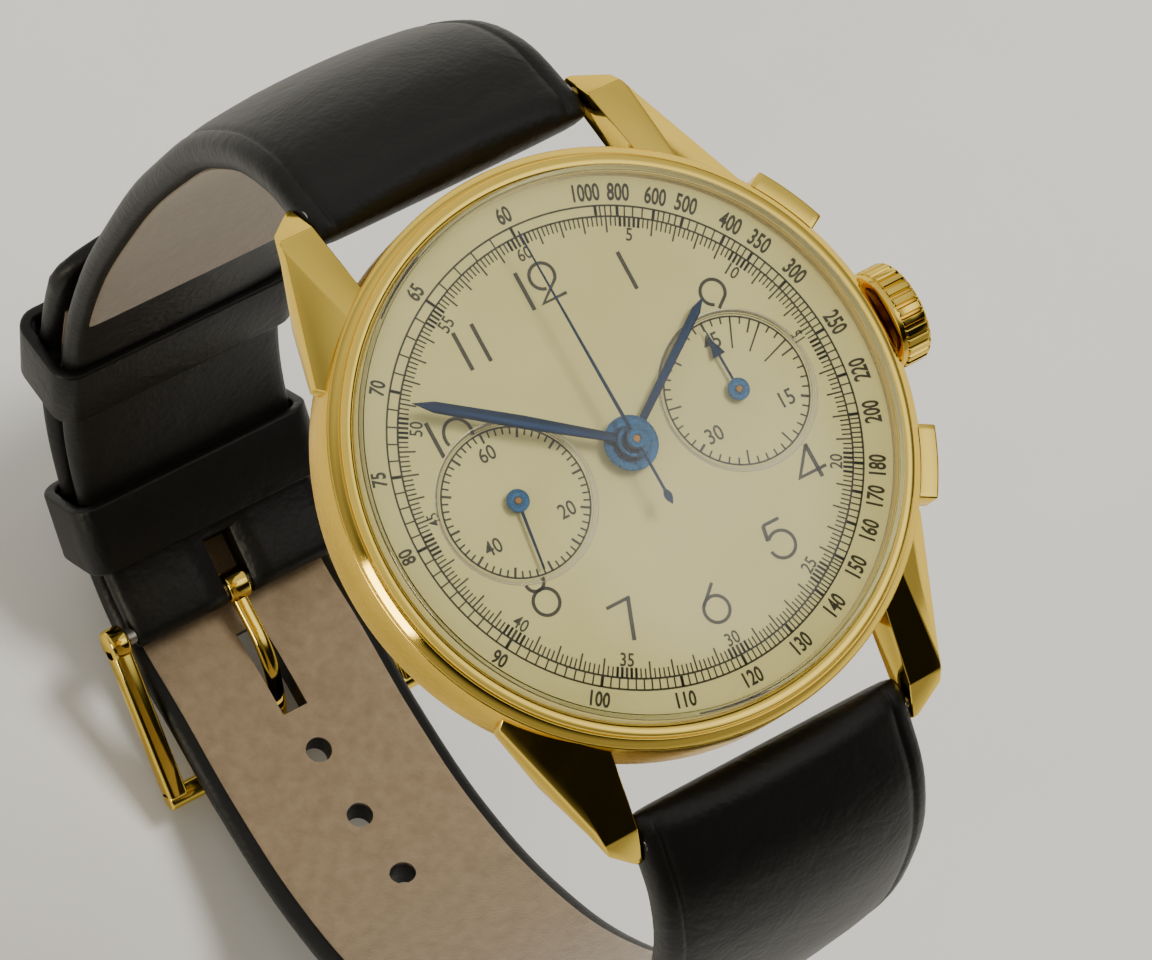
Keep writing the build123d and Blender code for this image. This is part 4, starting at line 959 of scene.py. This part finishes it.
    def build(self) -> None:
        """Makes all of the printing as one piece."""
        self.seconds_scale()
        self.speed_scale()
        self.hour_numerals()
        self.small_seconds()
        self.minute_counter()
        self.add(together(*self.parts), "dial_printing", "case", (DIAL_INK,), "dial_finish")
        rims = [moved(self.rim(), Matrix.Translation((side * SMALL_DIAL_X, 0, 0)))
                for side in (1, -1)]
        self.add(together(*rims), "small_dial_rims", "case", (CUT_SILVER,), "dial_finish")


@dataclass
class Hands(SubAssembly):
    """The five blued hands."""

    title: str = "hands"
    hour_angle: float = 55.4        # where each hand points, clockwise from 12 o'clock
    minute_angle: float = 305.2
    chrono_angle: float = -1.2
    seconds_angle: float = 187.4
    counter_angle: float = -1.5

    def boss(self, radius: float, hole: float, low: float, high: float) -> bmesh.types.BMesh:
        """Turns the round boss of a hand, with a softened rim."""
        shape = lathe(((hole, low), (radius, low), (radius, high), (hole, high)), 72)
        soften(shape, min(0.05, (high - low) / 3))
        for face in shape.faces:
            face.material_index = 1
        return shape

    def blade(self, outline: Sequence[Point], low: float, high: float,
              softness: float = 0.05) -> bmesh.types.BMesh:
        """Makes the blade of a hand, roofed along its middle, with softened edges."""
        shape = plate(outline, low, high)
        bmesh.ops.bisect_plane(shape, geom=all_of(shape), dist=1e-5, plane_co=(0, 0, 0),
                               plane_no=(1, 0, 0))
        for vert in shape.verts:
            if abs(vert.co.x) > 0.01 and vert.co.z > low + 0.01:
                vert.co.z -= (high - low) * 0.45
        return soften(shape, softness, 2, 60)

    def set_hand(self, name: str, body: str, node: str, centre: Point, angle: float,
                 *shapes: bmesh.types.BMesh) -> None:
        """Turns a hand to its place and adds it.

        Args:
            name: Name of the piece.
            body: The body that it turns with.
            node: The CAD node that it replaces.
            centre: Its axis.
            angle: Where it points, clockwise from 12 o'clock, in degrees.
            shapes: Its blade and boss.
        """
        place = Matrix.Translation((*centre, 0)) @ Matrix.Rotation(math.radians(-angle), 4, "Z")
        self.add(moved(together(*shapes), place), name, body, (BLUED_STEEL, BLUED_BOSS),
                 "blued_steel", (node,))

    def build(self) -> None:
        """Makes the hands."""
        hour = ((-0.23, 1.0), (-0.28, 8.9), (0.0, 9.8), (0.28, 8.9), (0.23, 1.0))
        self.set_hand("hour_hand_look", "hour", "hour_hand", (0, 0), self.hour_angle,
                      self.blade(hour, 7.0, 7.16), self.boss(1.62, 0.98, 7.0, 7.16))
        minute = ((-0.26, 0.7), (-0.40, 6.5), (-0.34, 11.6), (0.0, 12.9), (0.34, 11.6),
                  (0.40, 6.5), (0.26, 0.7))
        self.set_hand("minute_hand_look", "centre", "minute_hand", (0, 0), self.minute_angle,
                      self.blade(minute, 7.5, 7.66), self.boss(0.95, 0.62, 7.5, 7.66))
        needle = ((-0.12, 0.3), (-0.05, 13.4), (0.05, 13.4), (0.12, 0.3))
        tail = ((-0.09, -0.3), (0.09, -0.3), (0.09, -3.25), (0.21, -3.45), (0.26, -3.65),
                (0.18, -3.92), (0.0, -4.2), (-0.18, -3.92), (-0.26, -3.65), (-0.21, -3.45),
                (-0.09, -3.25))
        self.set_hand("chrono_hand_look", "chrono", "chrono_seconds_hand", (0, 0),
                      self.chrono_angle, self.blade(needle, 8.0, 8.12, 0.03),
                      self.blade(tail, 8.0, 8.12, 0.03),
                      self.boss(0.58, 0.22, 8.0, 8.3))
        stick = ((-0.10, 0.4), (-0.07, 4.1), (0.07, 4.1), (0.10, 0.4))
        self.set_hand("small_seconds_hand_look", "fourth", "small_seconds_hand",
                      (-SMALL_DIAL_X, 0), self.seconds_angle,
                      self.blade(stick, 6.66, 6.78, 0.03),
                      self.boss(0.68, 0.2, 6.66, 6.78))
        arrow = ((-0.08, 0.4), (-0.08, 2.2), (-0.42, 2.2), (-0.09, 3.1), (0.0, 4.1), (0.09, 3.1),
                 (0.42, 2.2), (0.08, 2.2), (0.08, 0.4))
        self.set_hand("counter_hand_look", "counter", "minute_counter_hand", (SMALL_DIAL_X, 0),
                      self.counter_angle, self.blade(arrow, 6.66, 6.78, 0.03),
                      self.boss(0.66, 0.2, 6.66, 6.78))


@dataclass
class Controls(SubAssembly):
    """The crown and the two chronograph pushers."""

    title: str = "controls"
    height: float = 4.5
    crown_start: float = 17.8
    crown_end: float = 19.9
    crown_radius: float = 3.05
    flutes: int = 28
    flute_depth: float = 0.19
    steps_a_flute: int = 12
    pusher_curve: float = 18.8      # radius that the pushers' outer faces follow

    def lie_down(self, shape: bmesh.types.BMesh) -> bmesh.types.BMesh:
        """Turns a shape drawn upright so that its axis runs along X at the stem."""
        turn = Matrix.Translation((0, 0, self.height)) @ Matrix.Rotation(math.pi / 2, 4, "Y")
        return moved(shape, turn)

    def fluted_rim(self) -> bmesh.types.BMesh:
        """Draws the scalloped rim of the crown in rings, each pulled in at its bevels."""
        shape = bmesh.new()
        count = self.flutes * self.steps_a_flute
        ring = list(bmesh.ops.create_circle(shape, segments=count, radius=1.0)["verts"])
        levels = ((1.42, self.crown_start + 0.5, 0.0), (2.3, self.crown_start + 0.5, 0.0),
                  (2.3, self.crown_start, 0.0), (2.78, self.crown_start, 0.0),
                  (2.90, self.crown_start + 0.06, 0.0), (2.93, self.crown_start + 0.14, 0.0),
                  (2.93, self.crown_start + 0.34, 0.0), (3.02, self.crown_start + 0.40, 0.9),
                  (self.crown_radius, self.crown_start + 0.48, 1.0),
                  (self.crown_radius, self.crown_end - 0.36, 1.0),
                  (3.02, self.crown_end - 0.26, 1.0), (2.92, self.crown_end - 0.15, 0.8),
                  (2.78, self.crown_end - 0.09, 0.2), (2.6, self.crown_end - 0.07, 0.0),
                  (1.3, self.crown_end - 0.02, 0.0), (0.5, self.crown_end, 0.0))
        for index, (radius, level, share) in enumerate(levels):
            if index:
                ring = next_ring(shape, ring)
            for step, vert in enumerate(ring):
                angle = 2 * math.pi * step / count
                phase = abs(math.sin(self.flutes * angle / 2))
                ridge = min(1.0, max(0.0, (phase - 0.3) / 0.3))
                reach = radius - self.flute_depth * share * (1 - ridge)
                vert.co = (reach * math.cos(angle), reach * math.sin(angle), level)
        bmesh.ops.holes_fill(shape, edges=[e for e in shape.edges if e.is_boundary], sides=0)
        bmesh.ops.recalc_face_normals(shape, faces=shape.faces)
        return shape

    def crown(self) -> bmesh.types.BMesh:
        """Makes the crown, with painted shade in a darker gold inside its recess."""
        shape = self.fluted_rim()
        # Faces inside the recess take the darker gold of painted shade.
        for face in shape.faces:
            middle = face.calc_center_median()
            if middle.z < self.crown_start + 0.52 and math.hypot(middle.x, middle.y) < 2.4:
                face.material_index = 1
        return self.lie_down(shape)

    def pusher(self, angle: float) -> bmesh.types.BMesh:
        """Makes a pusher with its outer face curved like the case, and its stem."""
        cap = block((1.8, 4.4, 2.03), (17.9, 0, PUSHER_HEIGHT))
        sides = [edge for edge in cap.edges if abs(edge.verts[0].co.y - edge.verts[1].co.y) > 1]
        bmesh.ops.subdivide_edges(cap, edges=sides, cuts=11, use_grid_fill=True)
        for vert in cap.verts:
            if vert.co.x > 18:
                vert.co.x = math.sqrt(self.pusher_curve ** 2 - vert.co.y ** 2)
        soften(cap, 0.12, 3, 45)
        stem = rod(0.6, 14.2, 17.1, 0, PUSHER_HEIGHT)
        return moved(together(cap, stem), Matrix.Rotation(math.radians(angle), 4, "Z"))

    def tube(self) -> bmesh.types.BMesh:
        """Turns the tube that the crown runs on."""
        profile = ((0.5, 14.8), (0.78, 14.8), (0.78, 17.0), (1.0, 17.0), (1.0, 19.0), (0.5, 19.0))
        return self.lie_down(soften(lathe(profile, 48), 0.03))

    def build(self) -> None:
        """Makes the crown, its tube and the pushers."""
        # The crown's recess and the crown tube carry painted shade in a darker gold.
        self.add(self.crown(), "crown_look", "crown", (POLISHED_GOLD, RECESS_SHADE_GOLD), "gold",
                 ("crown",), 40.0)
        self.add(self.tube(), "crown_tube_look", "case", (RECESS_SHADE_GOLD,), "gold", ("crown_tube",))
        for name, angle in zip(("pusher_upper", "pusher_lower"), PUSHER_ANGLES):
            self.add(self.pusher(angle), f"{name}_look", name, (POLISHED_GOLD,), "gold",
                     (name,))


@dataclass
class Strap(SubAssembly):
    """Both halves of the strap, their linings and the two keepers."""

    title: str = "strap"
    wide: float = 9.0
    narrow: float = 8.0
    top: float = 8.0
    bottom: float = -77.0
    buckle_side: tuple = (
        (19.95, 1.95, 1.75), (23.9, -0.6, 1.75), (27.5, -7.5, 1.6), (29.2, -19.0, 1.35),
        (29.3, -32.0, 1.15), (28.3, -44.0, 1.0), (26.5, -52.0, 1.0), (23.5, -59.5, 1.0),
        (19.0, -65.3, 1.0), (14.0, -68.5, 1.0), (9.5, -69.6, 1.0))
    tail_side: tuple = (
        (-19.95, 1.95, 1.75), (-23.9, -0.6, 1.75), (-27.5, -7.5, 1.6), (-29.2, -19.0, 1.35),
        (-29.3, -32.0, 1.15), (-28.3, -44.0, 1.0), (-25.2, -54.5, 1.0), (-19.5, -63.0, 1.0),
        (-12.0, -68.8, 1.0), (-4.0, -71.3, 1.0), (3.0, -72.0, 1.0), (9.5, -72.75, 1.0),
        (15.1, -71.1, 1.0), (20.8, -67.3, 1.0), (25.85, -60.9, 1.0), (29.05, -52.8, 1.0),
        (30.9, -44.4, 1.0))
    holes: tuple = ((-3.2, -71.4, -12.0), (-8.6, -70.2, -22.0), (-13.7, -67.9, -35.0))
    slot: tuple[float, float] = (0.2, 6.6)
    fine: int = 6                   # steps of the line between two places
    tip_reach: float = 3.2          # length of the rounded tip
    lining_inset: float = 1.0
    lining_half: float = 0.14       # half of the lining's thickness
    keeper_wide: float = 17.5       # room inside a keeper, across and through
    keeper_tall: float = 5.8
    keeper_long: float = 5.0
    keeper_wall: float = 0.8
    keeper_bend: float = 1.6

    def half_width(self, z: float) -> float:
        """Returns the strap's half width at a height of the loop."""
        even = (z - self.bottom) / (self.top - self.bottom)
        between_lugs = min(1.0, max(0.0, even * 6 - 4.5))
        return self.narrow + (self.wide - self.narrow) * even + 0.33 * between_lugs

    def stations(self, line: Sequence[tuple], outward: float, inset: float = 0.0
                 ) -> list[tuple[Vector, Vector, float, float]]:
        """Lists the stations of one half of the strap.

        Args:
            line: Y, Z and half thickness along its middle.
            outward: 1 if the outside lies left of the way that the line runs, or -1.
            inset: How far the edges are drawn in, in millimetres.

        Returns:
            Centre, outward side, half width and half thickness at each station.
        """
        spots = smooth_path([(y, z) for y, z, _ in line], self.fine)
        found = []
        for index, spot in enumerate(spots):
            share = index / (len(spots) - 1) * (len(line) - 1)
            knot = min(int(share), len(line) - 2)
            half = line[knot][2] + (line[knot + 1][2] - line[knot][2]) * (share - knot)
            ahead = spots[min(index + 1, len(spots) - 1)] - spots[max(index - 1, 0)]
            run = ahead.normalized()
            side = Vector((0, -run.z, run.y)) * outward
            found.append((spot, side, self.half_width(spot.z) - inset, half))
        return found

    def section(self) -> list[Point]:
        """Draws the padded section, with the line creased along each turned edge.

        Returns:
            Shares of the half width and half thickness round the section.
        """
        outside = [(1.0, 0.0), (0.995, 0.20), (0.978, 0.37), (0.945, 0.50), (0.905, 0.575),
                   (0.885, 0.585), (0.874, 0.535), (0.862, 0.535), (0.850, 0.605), (0.80, 0.68),
                   (0.70, 0.775), (0.55, 0.87), (0.38, 0.945), (0.20, 0.985), (0.0, 1.0)]
        wrist = [(0.0, -1.0), (0.35, -0.99), (0.65, -0.97), (0.85, -0.93), (0.93, -0.84),
                 (0.975, -0.62), (0.995, -0.32)]
        right = outside + [(-x, z) for x, z in reversed(outside[:-1])]
        under = [(-x, z) for x, z in reversed(wrist)] + wrist[1:]
        return right + under

    def nose(self, stations: list) -> list:
        """Adds a rounded nose before the first station, where the leather folds round its bar."""
        spot, side, width, half = stations[0]
        back = Vector((0, side.z, -side.y))
        if back.dot(stations[1][0] - spot) > 0:
            back = -back
        extra = []
        for angle in (84, 68, 50, 32, 16):
            bend = math.radians(angle)
            extra.append((spot + back * (half * math.sin(bend)), side,
                          width - 0.35 * math.sin(bend) ** 4, half * math.cos(bend)))
        return extra + stations

    def closed_tip(self, stations: list) -> list:
        """Adds the rounded spade end of the tail."""
        spot, side, width, half = stations[-1]
        ahead = (spot - stations[-2][0]).normalized()
        reach = self.tip_reach
        keep = [station for station in stations if (station[0] - spot).length > reach]
        extra = []
        for angle in (0, 20, 38, 54, 68, 80, 88):
            bend = math.radians(angle)
            extra.append((spot - ahead * (reach * (1 - math.sin(bend))), side,
                          width * (0.25 + 0.75 * math.cos(bend)),
                          half * (1 - 0.3 * math.sin(bend))))
        return keep + extra

    def band(self, line: Sequence[tuple], outward: float, tip: bool) -> bmesh.types.BMesh:
        """Makes the leather body of one half."""
        stations = self.nose(self.stations(line, outward))
        if tip:
            stations = self.closed_tip(stations)
        else:
            stations = list(reversed(self.nose(list(reversed(stations)))))
        return sweep(self.section(), stations)

    def lining(self, line: Sequence[tuple], outward: float, first: int, last: int
               ) -> bmesh.types.BMesh:
        """Makes the lining, a thin sheet on the wrist side set in from the edges.

        Args:
            line: Y, Z and half thickness along the strap's middle.
            outward: 1 if the outside lies left of the way that the line runs, or -1.
            first: First station that it covers.
            last: Last station that it covers, counted back from the end.

        Returns:
            The sheet.
        """
        found = []
        covered = self.stations(line, outward, self.lining_inset)[first:last]
        for spot, side, width, half in covered:
            found.append((spot - side * (half * 0.965), side, width, self.lining_half))
        return sweep(rounded_section(24, 0.2, 0.6), found)

    def keeper(self, place: tuple[float, float, float]) -> bmesh.types.BMesh:
        """Makes a leather keeper: a band bent round both strap layers.

        Args:
            place: Y and Z of its centre, and the slope of the strap there in degrees.

        Returns:
            The keeper.
        """
        wall = self.keeper_wall
        shape = block((self.keeper_wide + wall, self.keeper_long, self.keeper_tall + wall),
                      (0, 0, 0))
        ends = [face for face in shape.faces if abs(face.normal.y) > 0.5]
        bmesh.ops.delete(shape, geom=ends, context="FACES_ONLY")
        corners = [edge for edge in shape.edges
                   if abs(edge.verts[0].co.y - edge.verts[1].co.y) > 1]
        round_over(shape, corners, self.keeper_bend, 6)
        bmesh.ops.recalc_face_normals(shape, faces=shape.faces)
        bmesh.ops.solidify(shape, geom=list(shape.faces), thickness=wall)
        recalculated(shape)
        soften(shape, 0.22, 3, 50)
        slope = Matrix.Rotation(math.radians(place[2]), 4, "X")
        return moved(shape, Matrix.Translation((0, place[0], place[1])) @ slope)

    def hole_cutters(self) -> list[bmesh.types.BMesh]:
        """Lists the adjustment holes and the slot that the tongue passes."""
        cutters = []
        for y, z, slope in self.holes:
            shape = bmesh.new()
            bmesh.ops.create_cone(shape, cap_ends=True, segments=32, radius1=0.9, radius2=0.9,
                                  depth=6.0)
            turn = Matrix.Translation((0, y, z)) @ Matrix.Rotation(math.radians(slope), 4, "X")
            cutters.append(moved(shape, turn))
        low, high = self.slot
        cutters.append(block((1.9, high - low, 8.0), (0, (low + high) / 2, -73.0)))
        return cutters

    def build(self) -> None:
        """Makes the strap."""
        upper = self.add(self.band(self.buckle_side, 1, False), "strap_buckle_side_leather",
                         "case", (BLACK_CALF,), "leather", ("strap_buckle_side",), 60.0)
        carve(upper, [block((2.1, 7.0, 8.0), (0, 9.5, -69.6))])
        lower = self.add(self.band(self.tail_side, -1, True), "strap_tail_side_leather", "case",
                         (BLACK_CALF,), "leather", ("strap_tail_side",), 60.0)
        carve(lower, self.hole_cutters())
        self.add(self.lining(self.buckle_side, 1, 3, 34), "strap_buckle_side_lining", "case",
                 (TAUPE_NUBUCK,), "leather", (), 60.0)
        tail = self.add(self.lining(self.tail_side, -1, 3, -5), "strap_tail_side_lining", "case",
                        (TAUPE_NUBUCK,), "leather", (), 60.0)
        carve(tail, self.hole_cutters())
        self.add(self.keeper((17.32, -68.24, 32.0)), "fixed_keeper_leather", "case",
                 (BLACK_CALF,), "leather", ("fixed_keeper",), 50.0)
        self.add(self.keeper((26.51, -56.97, 65.0)), "sliding_keeper_leather", "sliding_keeper",
                 (BLACK_CALF,), "leather", ("sliding_keeper",), 50.0)


@dataclass
class Buckle(SubAssembly):
    """The gold pin buckle: frame and tongue."""

    title: str = "buckle"
    bar: Point = (9.5, -69.6)
    front: Point = (-1.2, -73.95)
    arm: tuple[float, float] = (8.6, 10.0)
    tongue_line: tuple = ((8.6, -70.0), (4.4, -70.6), (1.6, -73.1), (-0.3, -75.4), (-2.3, -75.5))

    def frame(self) -> bmesh.types.BMesh:
        """Makes the side arms with their eyes and the round front bar."""
        inner, outer = self.arm
        run = math.hypot(self.bar[0] - self.front[0], self.bar[1] - self.front[1])
        slope = math.atan2(self.bar[1] - self.front[1], self.bar[0] - self.front[0])
        shapes = [soften(rod(0.75, -outer, outer, *self.front), 0.2, 3)]
        for side in (1, -1):
            middle = side * (inner + outer) / 2
            arm = soften(block((outer - inner, run, 1.6), (0, run / 2, 0)), 0.3, 3)
            place = Matrix.Translation((middle, *self.front)) @ Matrix.Rotation(slope, 4, "X")
            shapes.append(moved(arm, place))
            low, high = sorted((side * inner, side * outer))
            shapes.append(soften(rod(1.15, low, high, *self.bar), 0.25, 3))
        return together(*shapes)

    def tongue(self) -> bmesh.types.BMesh:
        """Makes the tongue from its eye, through the strap, to the front bar."""
        spots = smooth_path(self.tongue_line, 8)
        stations = []
        for index, spot in enumerate(spots):
            run = (spots[min(index + 1, len(spots) - 1)] - spots[max(index - 1, 0)]).normalized()
            stations.append((spot, Vector((0, -run.z, run.y)), 0.55, 0.42))
        last = stations[-1]
        stations.append((last[0] + Vector((0, -0.12, 0)), last[1], 0.3, 0.2))
        eye = soften(rod(1.1, -0.8, 0.8, *self.bar), 0.2, 3)
        return together(sweep(rounded_section(20, 0.7, 0.7), stations), eye)

    def build(self) -> None:
        """Makes the buckle."""
        self.add(self.frame(), "buckle_frame_look", "buckle_frame", (POLISHED_GOLD,), "gold",
                 ("buckle_frame",))
        self.add(self.tongue(), "buckle_tongue_look", "tongue", (POLISHED_GOLD,), "gold",
                 ("buckle_tongue",))


@dataclass
class CarriedNodes:
    """Finishes of the CAD nodes that stay as they are."""

    steel: tuple[str, ...] = (
        "spring_bar_upper", "spring_bar_lower", "buckle_bar", "winding_stem", "sliding_pinion",
        "pusher_tube_upper", "pusher_tube_lower", "case_screw_upper", "case_screw_lower",
        "ratchet_wheel", "crown_wheel", "click", "pallet_fork", "hairspring", "mainspring",
        "barrel_arbor", "coupling_lever", "column_wheel", "operating_lever", "reset_hammer",
        "escape_wheel")
    rubber: tuple[str, ...] = ("crown_gasket", "case_back_gasket")
    arbors: tuple[str, ...] = ("chrono_runner", "minute_recorder", "fourth_wheel")
    dial: tuple[str, ...] = ("dial",)
    blued: tuple[str, ...] = ("cannon_pinion", "hour_wheel")

    def finish_of(self, name: str) -> Finish:
        """Returns the finish of a node."""
        for names, finish in ((self.steel, GROUND_STEEL), (self.rubber, MOULDED_RUBBER),
                              (self.arbors, TURNED_BRASS), (self.dial, CHAMPAGNE_DIAL),
                              (self.blued, BLUED_STEEL)):
            if name in names:
                return finish
        return GILT_BRASS

    def build(self) -> None:
        """Dresses every node that still shows."""
        for name, node in sorted(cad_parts.items()):
            if node.hide_render:
                continue
            finish = self.finish_of(name)
            for place in node.material_slots:
                place.material = finish.material()
            if not node.material_slots:
                node.data.materials.append(finish.material())
            LOG.info("carried over: %s in %s", name, finish.name)


@dataclass
class Studio:
    """The floor, the soft lights and the camera."""

    eye: tuple[float, float, float] = (-132.87, -26.11, 346.57)
    aim: tuple[float, float, float] = (-3.72, -0.41, 6.6)
    roll: float = 51.06
    lens: float = 203.1
    pale_side: tuple[float, float, float] = (0.02, 0.55, 0.83)      # where the sky is palest
    diffuser_side: tuple[float, float, float] = (0.42, -0.18, 0.89)
    sheet_gap: float = 0.0001       # metres between the floor and the strap

    def floor(self) -> None:
        """Lays a plain pale sheet under the watch."""
        shape = bmesh.new()
        bmesh.ops.create_grid(shape, x_segments=1, y_segments=1, size=2.0)
        lowest = CAD_BOX[0][2]
        bmesh.ops.translate(shape, vec=(0, 0, lowest - self.sheet_gap), verts=shape.verts)
        mesh = as_mesh(shape, "floor")
        mesh.materials.append(PALE_PAPER.material())
        shown("floor", mesh)

    def lamp(self, name: str, spot: Sequence[float], size: float, power: float,
             tint: str = "#FFFFFF", mirrored: bool = True) -> None:
        """Hangs one soft panel that faces the watch.

        Args:
            name: Name of the lamp.
            spot: Its place in metres.
            size: Side of the square panel in metres.
            power: Its power in watts.
            tint: Colour of its light.
            mirrored: Whether it shows in polished surfaces.
        """
        light = bpy.data.lights.new(name, "AREA")
        light.energy = power
        light.size = size
        light.color = linear(tint)[:3]
        holder = shown(name, light)
        holder.location = spot
        holder.rotation_euler = (-Vector(spot)).to_track_quat("-Z", "Y").to_euler()
        holder.visible_glossy = mirrored
        holder.visible_transmission = False

    def world(self) -> None:
        """Sets a surround: pale up behind the watch, a diffuser overhead, pale walls low down."""
        surround = bpy.data.worlds.new("studio")
        surround.use_nodes = True
        tree = surround.node_tree
        tree.nodes.clear()
        spot = add_node(tree, "ShaderNodeTexCoord").outputs["Generated"]
        lean = add_node(tree, "ShaderNodeVectorMath",
                        {"operation": "DOT_PRODUCT", 1: self.pale_side}, {0: spot})
        share = add_node(tree, "ShaderNodeMapRange",
                         {"interpolation_type": "SMOOTHSTEP", "From Min": 0.25, "From Max": 1.0},
                         {"Value": lean.outputs["Value"]})
        tone = add_node(tree, "ShaderNodeMix",
                        {"data_type": "RGBA", 6: linear("#1E1C1A"), 7: linear("#F6F4EE")},
                        {0: share.outputs[0]})
        sky = add_node(tree, "ShaderNodeBackground", {"Strength": 0.88},
                       {"Color": tone.outputs[2]})
        near = add_node(tree, "ShaderNodeVectorMath",
                        {"operation": "DOT_PRODUCT", 1: self.diffuser_side}, {0: spot})
        cloud = add_node(tree, "ShaderNodeMapRange",
                         {"interpolation_type": "SMOOTHSTEP", "From Min": 0.93, "To Max": 1.5},
                         {"Value": near.outputs["Value"]})
        diffuser = add_node(tree, "ShaderNodeBackground", links={"Strength": cloud.outputs[0]})
        rise = add_node(tree, "ShaderNodeSeparateXYZ", links={0: spot})
        wall = add_node(tree, "ShaderNodeMapRange",
                        {"interpolation_type": "SMOOTHSTEP", "From Min": 0.42, "From Max": 0.14,
                         "To Max": 0.42}, {"Value": rise.outputs["Z"]})
        low = add_node(tree, "ShaderNodeBackground", {"Color": linear("#E8E2D6")},
                       {"Strength": wall.outputs[0]})
        upper = add_node(tree, "ShaderNodeAddShader",
                         links={0: sky.outputs[0], 1: diffuser.outputs[0]})
        both = add_node(tree, "ShaderNodeAddShader",
                        links={0: upper.outputs[0], 1: low.outputs[0]})
        paper = add_node(tree, "ShaderNodeBackground",
                         {"Color": linear("#D4D3CF"), "Strength": 0.85})
        seen = add_node(tree, "ShaderNodeLightPath")
        shown = add_node(tree, "ShaderNodeMixShader",
                         links={0: seen.outputs["Is Camera Ray"], 1: both.outputs[0],
                                2: paper.outputs[0]})
        add_node(tree, "ShaderNodeOutputWorld", links={0: shown.outputs[0]})
        bpy.context.scene.world = surround

    def camera(self) -> None:
        """Sets the camera above the left of the dial, rolled so that 12 o'clock leans left."""
        data = bpy.data.cameras.new("camera")
        data.lens = self.lens
        data.sensor_width = 36.0
        data.clip_start = 0.01
        holder = shown("camera", data)
        eye, aim = Vector(self.eye) * MM, Vector(self.aim) * MM
        turn = (aim - eye).to_track_quat("-Z", "Y").to_matrix().to_4x4()
        roll = Matrix.Rotation(math.radians(self.roll), 4, "Z")
        holder.matrix_world = Matrix.Translation(eye) @ turn @ roll
        bpy.context.scene.camera = holder

    def build(self) -> None:
        """Sets up the studio."""
        self.camera()
        self.floor()
        self.world()
        self.lamp("key", (0.40, 0.13, 0.70), 0.26, 6.6, "#FFFEFA", mirrored=False)
        self.lamp("back", (0.15, 0.85, 0.50), 0.70, 3.0, "#FFFDF8", mirrored=False)
        self.lamp("right", (0.90, 0.05, 0.30), 0.40, 2.0, "#FFFFFF", mirrored=False)
        self.lamp("left", (-0.80, -0.05, 0.22), 0.30, 3.0, "#FFF4D8")


def main() -> None:
    """Builds the watch and its studio."""
    logging.basicConfig(level=logging.INFO, format="%(message)s")
    Studio().build()
    for group in (Case(), DialPrint(), Hands(), Controls(), Strap(), Buckle()):
        group.build()
    CarriedNodes().build()


if __name__ == "__main__":
    main()
